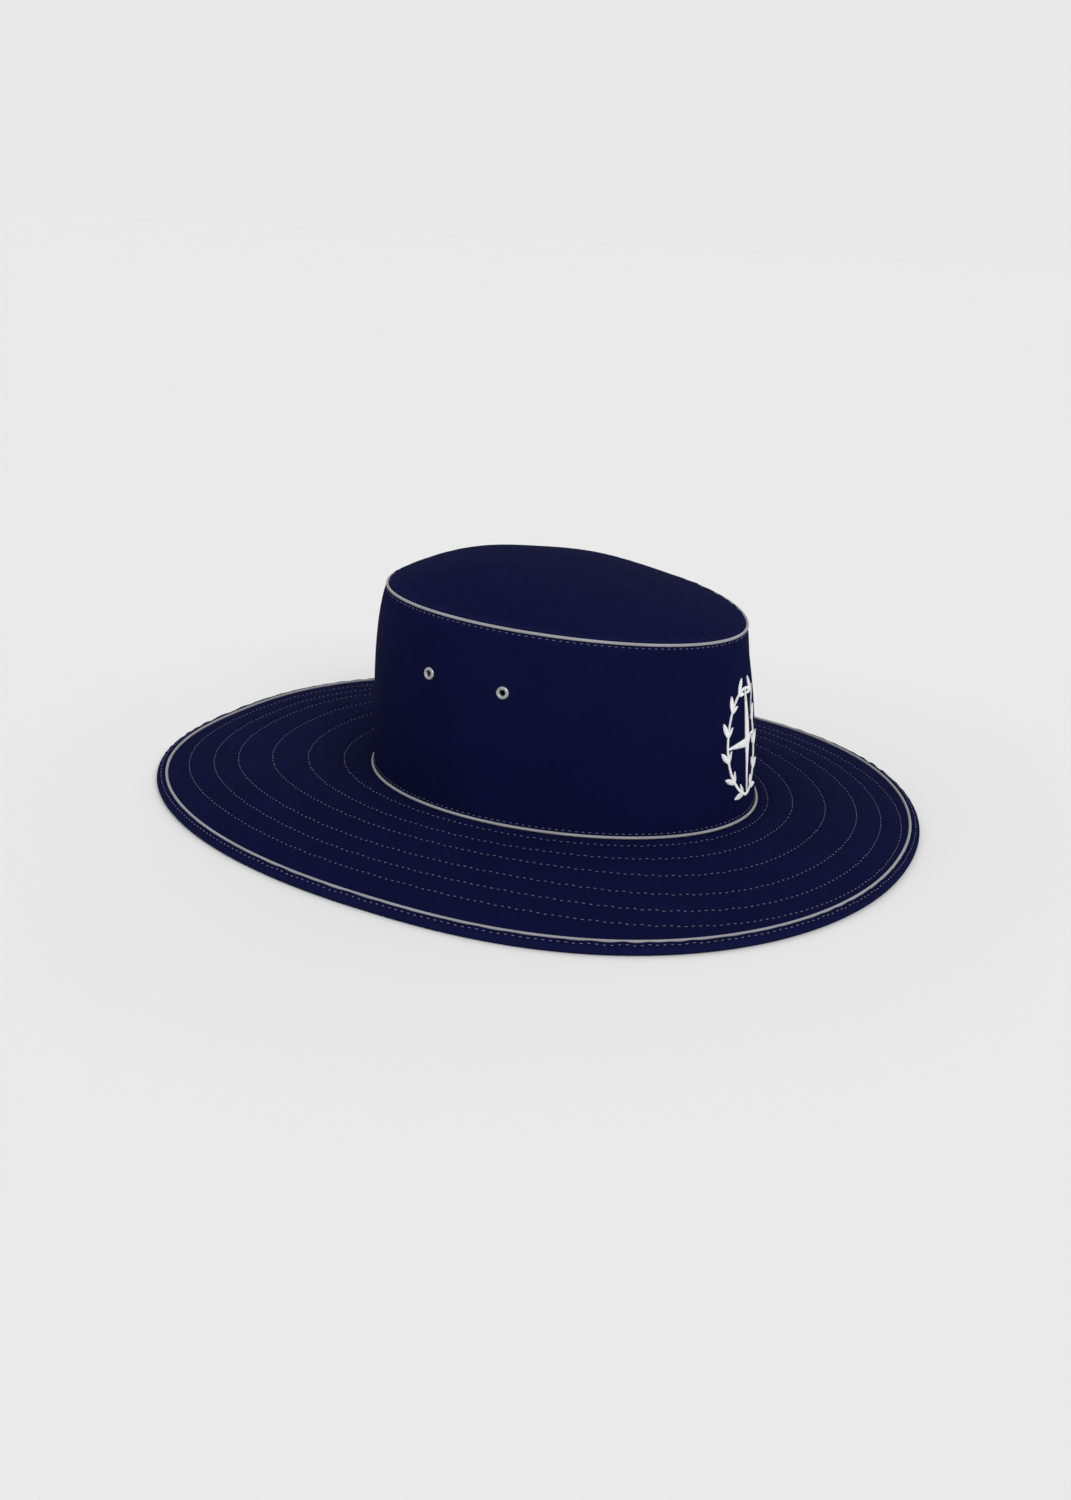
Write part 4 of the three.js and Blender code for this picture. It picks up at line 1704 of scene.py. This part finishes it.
@dataclass
class Eyelets:
    """Four spun metal eyelets, two on each side of the crown.

    A place is a node's name, its degrees from the front, and its share of the band's height.
    """

    form: HatForm
    band: SideBand
    places: tuple[tuple[str, float, float], ...] = (
        ("eyelet_right_back", -109.3, 0.70),
        ("eyelet_right_front", -84.7, 0.69),
        ("eyelet_left_back", 109.3, 0.70),
        ("eyelet_left_front", 84.7, 0.69),
    )
    bore: float = 1.25 * MM
    barrel: float = 1.8 * MM
    flange: float = 2.95 * MM
    hole: float = 2.1 * MM
    roll_height: float = 0.75 * MM
    roll_power: float = 0.8
    roll_steps: int = 11
    roll_lift: float = 0.05 * MM
    clearance: float = 0.02 * MM
    back_rim: float = 0.3 * MM
    back_crest: float = 0.5 * MM
    back_lip: float = 0.35 * MM
    punch_walls: int = 4
    sides: int = 48

    def profile(self) -> Array:
        """Lists the eyelet's section, over the outer roll, down the barrel and round the back flange.

        Returns:
            Rows of two numbers: the radius, and the height off the cloth's outer face.
        """
        back = -self.form.crown_wall
        middle = (self.bore + self.flange) / 2
        half = (self.flange - self.bore) / 2
        rows = []
        for turn in np.linspace(math.pi, 0, self.roll_steps):
            height = self.roll_height * math.sin(turn) ** self.roll_power + self.roll_lift
            rows.append((middle + half * math.cos(turn), height))
        rows += [
            (self.flange, self.clearance),
            (self.barrel, self.clearance),
            (self.barrel, back - self.clearance),
            (self.flange, back - self.clearance),
            (self.flange, back - self.back_rim),
            (middle, back - self.back_crest),
            (self.bore, back - self.back_lip),
        ]
        return np.array(rows)

    def seat(self, degrees: float, height: float) -> Matrix:
        """Works out where an eyelet sits.

        Args:
            degrees: Its angle from the front.
            height: Its share of the band's height.

        Returns:
            The place and turn that put its own +Z straight out of the cloth.
        """
        angle = np.array([math.radians(degrees)])
        share = np.array([height])
        out = Vector(normal_of(self.form.band, angle, share)[0])
        place = Vector(self.band.face(angle, share)[0])
        return Matrix.Translation(place) @ out.to_track_quat("Z", "Y").to_matrix().to_4x4()

    def punches(self) -> list[bpy.types.Object]:
        """Makes the solids that cut the holes in the cloth.

        Returns:
            One object for each eyelet.
        """
        depth = self.punch_walls * self.form.crown_wall
        section = np.array([(self.hole, -depth), (self.hole, depth)])
        poles = np.array([[0, 0, -depth], [0, 0, depth]])
        made = []
        for name, degrees, height in self.places:
            mesh = self._spun("punch", section, poles)
            mesh.transform(self.seat(degrees, height))
            made.append(new_object("punch_" + name, mesh))
        return made

    def _spun(self, name: str, profile: Array, poles: Array | None = None) -> bpy.types.Mesh:
        """Spins a section round +Z.

        Args:
            name: The mesh's name.
            profile: Rows of a radius and a height.
            poles: The two points on the axis that close an open section.

        Returns:
            The mesh.
        """
        turn = once_round(self.sides)[:, None]
        radius, z = profile[:, 0][None], profile[:, 1][None]
        grid = np.stack([radius * np.cos(turn), radius * np.sin(turn), z + 0 * turn], axis=-1)
        flat = np.zeros((self.sides + 1, len(profile) + 1, 2))
        return ring_mesh(name, grid, flat, poles)

    def build(self, metal: bpy.types.Material) -> None:
        """Makes the four eyelets.

        Args:
            metal: Their finish.
        """
        for node, degrees, height in self.places:
            mesh = self._spun(node + "_ring", self.profile())
            mesh.transform(self.seat(degrees, height))
            add_to_part(new_object(node + "_ring", mesh, metal), "eyelet_metal", node)


@dataclass(frozen=True)
class Strip:
    """One column of embroidery: its places across and up the badge, and its widths, in metres."""

    places: Array
    widths: Array
    closed: bool = False
    slant: float = 0.0

    def along(self) -> Array:
        """Works out the direction along the strip.

        Returns:
            Unit vectors across and up the badge, one for each of its places.
        """
        if self.closed:
            return unit(np.roll(self.places, -1, axis=0) - np.roll(self.places, 1, axis=0))
        return unit(np.gradient(self.places, axis=0))


@dataclass
class Badge:
    """The embroidered badge: a compass star in a wreath of leaves.

    Each arm of the star has a heading in degrees, a length and a width.
    """

    form: HatForm
    band: SideBand
    middle: float = 45.2 * MM
    metres_per_radian: float = 79 * MM
    half_width: float = 17.5 * MM
    half_height: float = 25 * MM
    stem_width: float = 1.5 * MM
    stem_steps: int = 96
    leaves: int = 6
    leaf_steps: int = 14
    leaf_length: float = 7.6 * MM
    leaf_width: float = 3.2 * MM
    leaf_spread: float = 36.0
    leaf_slant: float = 30.0
    leaf_power: float = 0.9
    leaf_root: float = 0.1
    leaf_swell: float = 0.86
    inner_leaf: float = 0.72
    leaf_range: tuple[float, float] = (20.0, 158.0)
    look_ahead: float = 0.05
    arms: tuple[tuple[float, float, float], ...] = (
        (0, 17.6 * MM, 4.6 * MM),
        (90, 25.1 * MM, 5.2 * MM),
        (180, 17.6 * MM, 4.6 * MM),
        (270, 25.1 * MM, 5.2 * MM),
    )
    arm_steps: int = 24
    arm_root: float = 1.15
    pad: float = 0.3 * MM
    pad_root: float = 0.1 * MM
    pad_foot: float = 0.46
    pad_top: float = 0.3
    probe: float = 0.2 * MM
    satin: Thread = Thread(spacing=0.4 * MM, width=0.5 * MM, height=0.62 * MM, unevenness=0.05, seed=61)

    def wreath(self, turn: Array) -> Array:
        """Gives places on the wreath's stem, from its foot."""
        return np.stack([self.half_width * np.sin(turn), -self.half_height * np.cos(turn)], axis=-1)

    def strips(self) -> list[Strip]:
        """Lists every column of the badge.

        Returns:
            The stem, the star's arms and the leaves.
        """
        stem = self.wreath(once_round(self.stem_steps))
        made = [Strip(stem, np.full(self.stem_steps, self.stem_width), closed=True)]
        share = np.linspace(0, 1, self.arm_steps)
        for degrees, length, width in self.arms:
            heading = math.radians(degrees)
            places = share[:, None] * length * np.array([math.cos(heading), math.sin(heading)])
            made.append(Strip(places, width * (self.arm_root - share)))
        for turn in np.radians(np.linspace(*self.leaf_range, self.leaves)):
            root = self.wreath(turn)
            ahead = self.wreath(turn + self.look_ahead) - root
            for spread, size in ((self.leaf_spread, 1.0), (-self.leaf_spread, self.inner_leaf)):
                heading = math.atan2(ahead[1], ahead[0]) - math.radians(spread)
                made += self._leaves(root, heading, size, math.copysign(self.leaf_slant, spread))
        return made

    def _leaves(self, root: Array, heading: float, size: float, slant: float) -> list[Strip]:
        """Makes one leaf and its mirror image on the other side of the badge.

        Args:
            root: Where the leaf leaves the stem.
            heading: The way that it points, in radians.
            size: Its size, as a share of a full leaf.
            slant: How far its stitches lean, in degrees.

        Returns:
            The two leaves.
        """
        share = np.linspace(0, 1, self.leaf_steps)
        towards = np.array([math.cos(heading), math.sin(heading)])
        places = root + share[:, None] * self.leaf_length * size * towards
        swell = share * self.leaf_swell + self.leaf_root
        widths = (self.leaf_width * size) * np.sin(math.pi * swell) ** self.leaf_power
        return [Strip(places, widths, slant=slant), Strip(places * [-1, 1], widths, slant=-slant)]

    def on_band(self, place: Array) -> tuple[Array, Array]:
        """Lays places of the badge on the side band.

        Args:
            place: Places across and up, in metres.

        Returns:
            Their angles round the hat and their shares of the band's height.
        """
        angle = place[..., 0] / self.metres_per_radian
        return angle, self.form.band_height(angle, self.middle + place[..., 1])

    def out(self, place: Array) -> Array:
        """Gives the directions straight off the band."""
        return normal_of(self.form.band, *self.on_band(place))

    def point(self, place: Array, lift: float) -> Array:
        """Gives points a lift off the finished band."""
        return self.band.face(*self.on_band(place)) + self.out(place) * lift

    def build(self, threads: ThreadLayer, white: bpy.types.Material) -> None:
        """Makes the underlay and lays the satin stitches across it.

        Args:
            threads: Lays the stitches.
            white: The embroidery thread's finish.
        """
        points: list[Array] = []
        faces: list[list[int]] = []
        paths = PathSet("badge_satin")
        count = 0
        for strip in self.strips():
            along = strip.along()
            side = np.stack([-along[:, 1], along[:, 0]], axis=-1)
            ring = self._padding(strip, side)
            faces += self._padding_faces(count, len(ring), strip.closed)
            points.append(ring.reshape(-1, 3))
            count += ring.shape[0] * ring.shape[1]
            slant = math.radians(strip.slant)
            across = side * math.cos(slant) + along * math.sin(slant)
            start = self.point(strip.places - self.probe * across, self.pad)
            end = self.point(strip.places + self.probe * across, self.pad)
            middle = self.point(strip.places, self.pad)
            paths.add(middle, self.out(strip.places), unit(end - start), strip.widths, strip.closed)
        mesh = bpy.data.meshes.new("badge_underlay")
        mesh.from_pydata(np.concatenate(points).tolist(), [], faces)
        self._face_out(mesh)
        add_to_part(new_object("badge_underlay", mesh, white), "white_thread", "front_badge")
        add_to_part(threads.lay(paths, self.satin, white), "white_thread")

    def _padding(self, strip: Strip, side: Array) -> Array:
        """Works out the low bank of thread under a strip.

        Args:
            strip: The strip.
            side: The direction across it at each of its places.

        Returns:
            The four corners of the bank's section at each place.
        """
        corners = (
            (self.pad_foot, -self.pad_root),
            (-self.pad_foot, -self.pad_root),
            (-self.pad_top, self.pad),
            (self.pad_top, self.pad),
        )
        edges = [
            self.point(strip.places + side * (strip.widths * share)[:, None], lift)
            for share, lift in corners
        ]
        return np.stack(edges, axis=1)

    @staticmethod
    def _padding_faces(start: int, size: int, closed: bool) -> list[list[int]]:
        """Lists the faces of one bank of thread.

        Args:
            start: The number of its first point.
            size: The number of its sections.
            closed: Whether it comes back to its start, or else has two ends.

        Returns:
            The faces, as lists of point numbers.
        """
        faces = []
        for i in range(size if closed else size - 1):
            here, after = start + 4 * i, start + 4 * ((i + 1) % size)
            faces += [[here + k, after + k, after + (k + 1) % 4, here + (k + 1) % 4] for k in range(4)]
        if not closed:
            end = start + 4 * (size - 1)
            faces += [[start + k for k in (0, 1, 2, 3)], [end + k for k in (3, 2, 1, 0)]]
        return faces

    @staticmethod
    def _face_out(mesh: bpy.types.Mesh) -> None:
        """Turns the faces of a mesh of closed bodies outwards.

        Args:
            mesh: The mesh.
        """
        edit = bmesh.new()
        edit.from_mesh(mesh)
        bmesh.ops.recalc_face_normals(edit, faces=edit.faces)
        edit.to_mesh(mesh)
        edit.free()


@dataclass(frozen=True)
class Light:
    """One broad soft light, as even as a big softbox far away.

    Its source is the direction that it comes from, seen from the hat. Its spread is in degrees and
    its strength in watts to the square metre.
    """

    name: str
    source: tuple[float, float, float]
    spread: float
    strength: float

    def build(self) -> None:
        """Puts the light into the scene."""
        data = bpy.data.lights.new(self.name, "SUN")
        data.angle = math.radians(self.spread)
        data.energy = self.strength
        made = new_object(self.name, data)
        made.rotation_mode = "QUATERNION"
        made.rotation_quaternion = Vector(self.source).to_track_quat("Z", "Y")


@dataclass
class Studio:
    """A pale floor and backdrop, soft lights, and the camera at the picture's angle."""

    form: HatForm
    image: tuple[int, int] = (1071, 1500)
    azimuth: float = 25.0
    elevation: float = 21.586
    roll: float = 3.035
    distance: float = 0.700
    focal_pixels: float = 1401.7
    aim_pixel: tuple[float, float] = (561.36, 791.40)
    sensor: float = 36.0
    floor_radii: tuple[float, ...] = (0.5, 2.0, 8.0, 60.0)
    floor_sides: int = 64
    backdrop_light: float = 0.815
    daylight: float = 0.56
    lamps: tuple[Light, ...] = (
        Light("key", source=(0.92, -0.78, 1.08), spread=38.0, strength=1.42),
        Light("fill", source=(-0.9, -0.75, 0.8), spread=60.0, strength=0.25),
        Light("back", source=(0.1, 1.2, 0.9), spread=40.0, strength=0.18),
    )

    def camera(self) -> None:
        """Stands the camera where the drawing's outlines fit the hat."""
        azimuth, elevation, roll = (math.radians(v) for v in (self.azimuth, self.elevation, self.roll))
        back = Vector((
            math.sin(azimuth) * math.cos(elevation),
            -math.cos(azimuth) * math.cos(elevation),
            math.sin(elevation),
        ))
        right = Vector((math.cos(azimuth), math.sin(azimuth), 0.0))
        up = back.cross(right)
        turned_right = right * math.cos(roll) + up * math.sin(roll)
        turned_up = up * math.cos(roll) - right * math.sin(roll)
        data = bpy.data.cameras.new("camera")
        width, height = self.image
        data.sensor_width = self.sensor
        data.lens = self.sensor * self.focal_pixels / height
        data.shift_x = (width / 2 - self.aim_pixel[0]) / height
        data.shift_y = (self.aim_pixel[1] - height / 2) / height
        made = new_object("camera", data)
        place = Vector((self.form.crown_forward, 0.0, 0.0)) + back * self.distance
        turn = Matrix((turned_right, turned_up, back)).transposed().to_4x4()
        made.matrix_world = Matrix.Translation(place) @ turn
        bpy.context.scene.camera = made

    def backdrop(self, paper: bpy.types.Material) -> None:
        """Lays the floor, which reaches the horizon, where it meets the backdrop's light.

        Args:
            paper: The floor's finish.
        """
        sides = self.floor_sides
        turns = once_round(sides).tolist()
        points = [(0.0, 0.0, 0.0)]
        for radius in self.floor_radii:
            points += [(radius * math.cos(turn), radius * math.sin(turn), 0.0) for turn in turns]
        faces = [[0, 1 + k, 1 + (k + 1) % sides] for k in range(sides)]
        for ring in range(len(self.floor_radii) - 1):
            low, high = 1 + ring * sides, 1 + (ring + 1) * sides
            faces += [
                [low + k, high + k, high + (k + 1) % sides, low + (k + 1) % sides]
                for k in range(sides)
            ]
        mesh = bpy.data.meshes.new("backdrop")
        mesh.from_pydata(points, [], faces)
        mesh.shade_smooth()
        new_object("backdrop", mesh, paper)

    def lights(self) -> None:
        """Sets the even daylight, the pale backdrop that the camera sees, and three soft lights."""
        world = bpy.data.worlds.new("daylight")
        world.use_nodes = True
        graph = Graph(world.node_tree)
        seen = Value(graph, graph.node("ShaderNodeLightPath").outputs["Is Camera Ray"])
        strength = seen * (self.backdrop_light - self.daylight) + self.daylight
        graph.fill(world.node_tree.nodes["Background"], {"Color": WHITE, "Strength": strength})
        bpy.context.scene.world = world
        for lamp in self.lamps:
            lamp.build()
        bpy.context.scene.view_settings.view_transform = "Standard"


def main() -> None:
    """Builds the studio and then every piece of the hat."""
    logging.basicConfig(level=logging.INFO, format="%(name)s: %(message)s")
    form = HatForm()
    studio = Studio(form)
    studio.camera()
    studio.lights()
    studio.backdrop(PaperFinish().build())
    twill = TwillFinish().build()
    cord = PipingFinish().build()
    metal = EyeletFinish().build()
    grey_thread = ThreadFinish(
        name="grey_thread",
        colour=from_screen(118, 112, 136),
        shadow=from_screen(86, 82, 102),
        roughness=0.6,
    ).build()
    white_thread = ThreadFinish(
        name="white_thread",
        colour=from_screen(254, 254, 253),
        shadow=from_screen(228, 229, 234),
        roughness=0.4,
    ).build()
    threads = ThreadLayer()
    brim = Brim(form)
    brim.build(twill)
    brim.sew(threads, grey_thread)
    binding = Binding(form)
    binding.build(twill)
    binding.sew(threads, grey_thread)
    band = SideBand(form)
    eyelets = Eyelets(form, band)
    band.build(twill, eyelets.punches())
    band.sew(threads, grey_thread)
    eyelets.build(metal)
    CrownTip(form).build(twill)
    Pipings(form).build(cord)
    Badge(form, band).build(threads, white_thread)


if __name__ == "__main__":
    main()
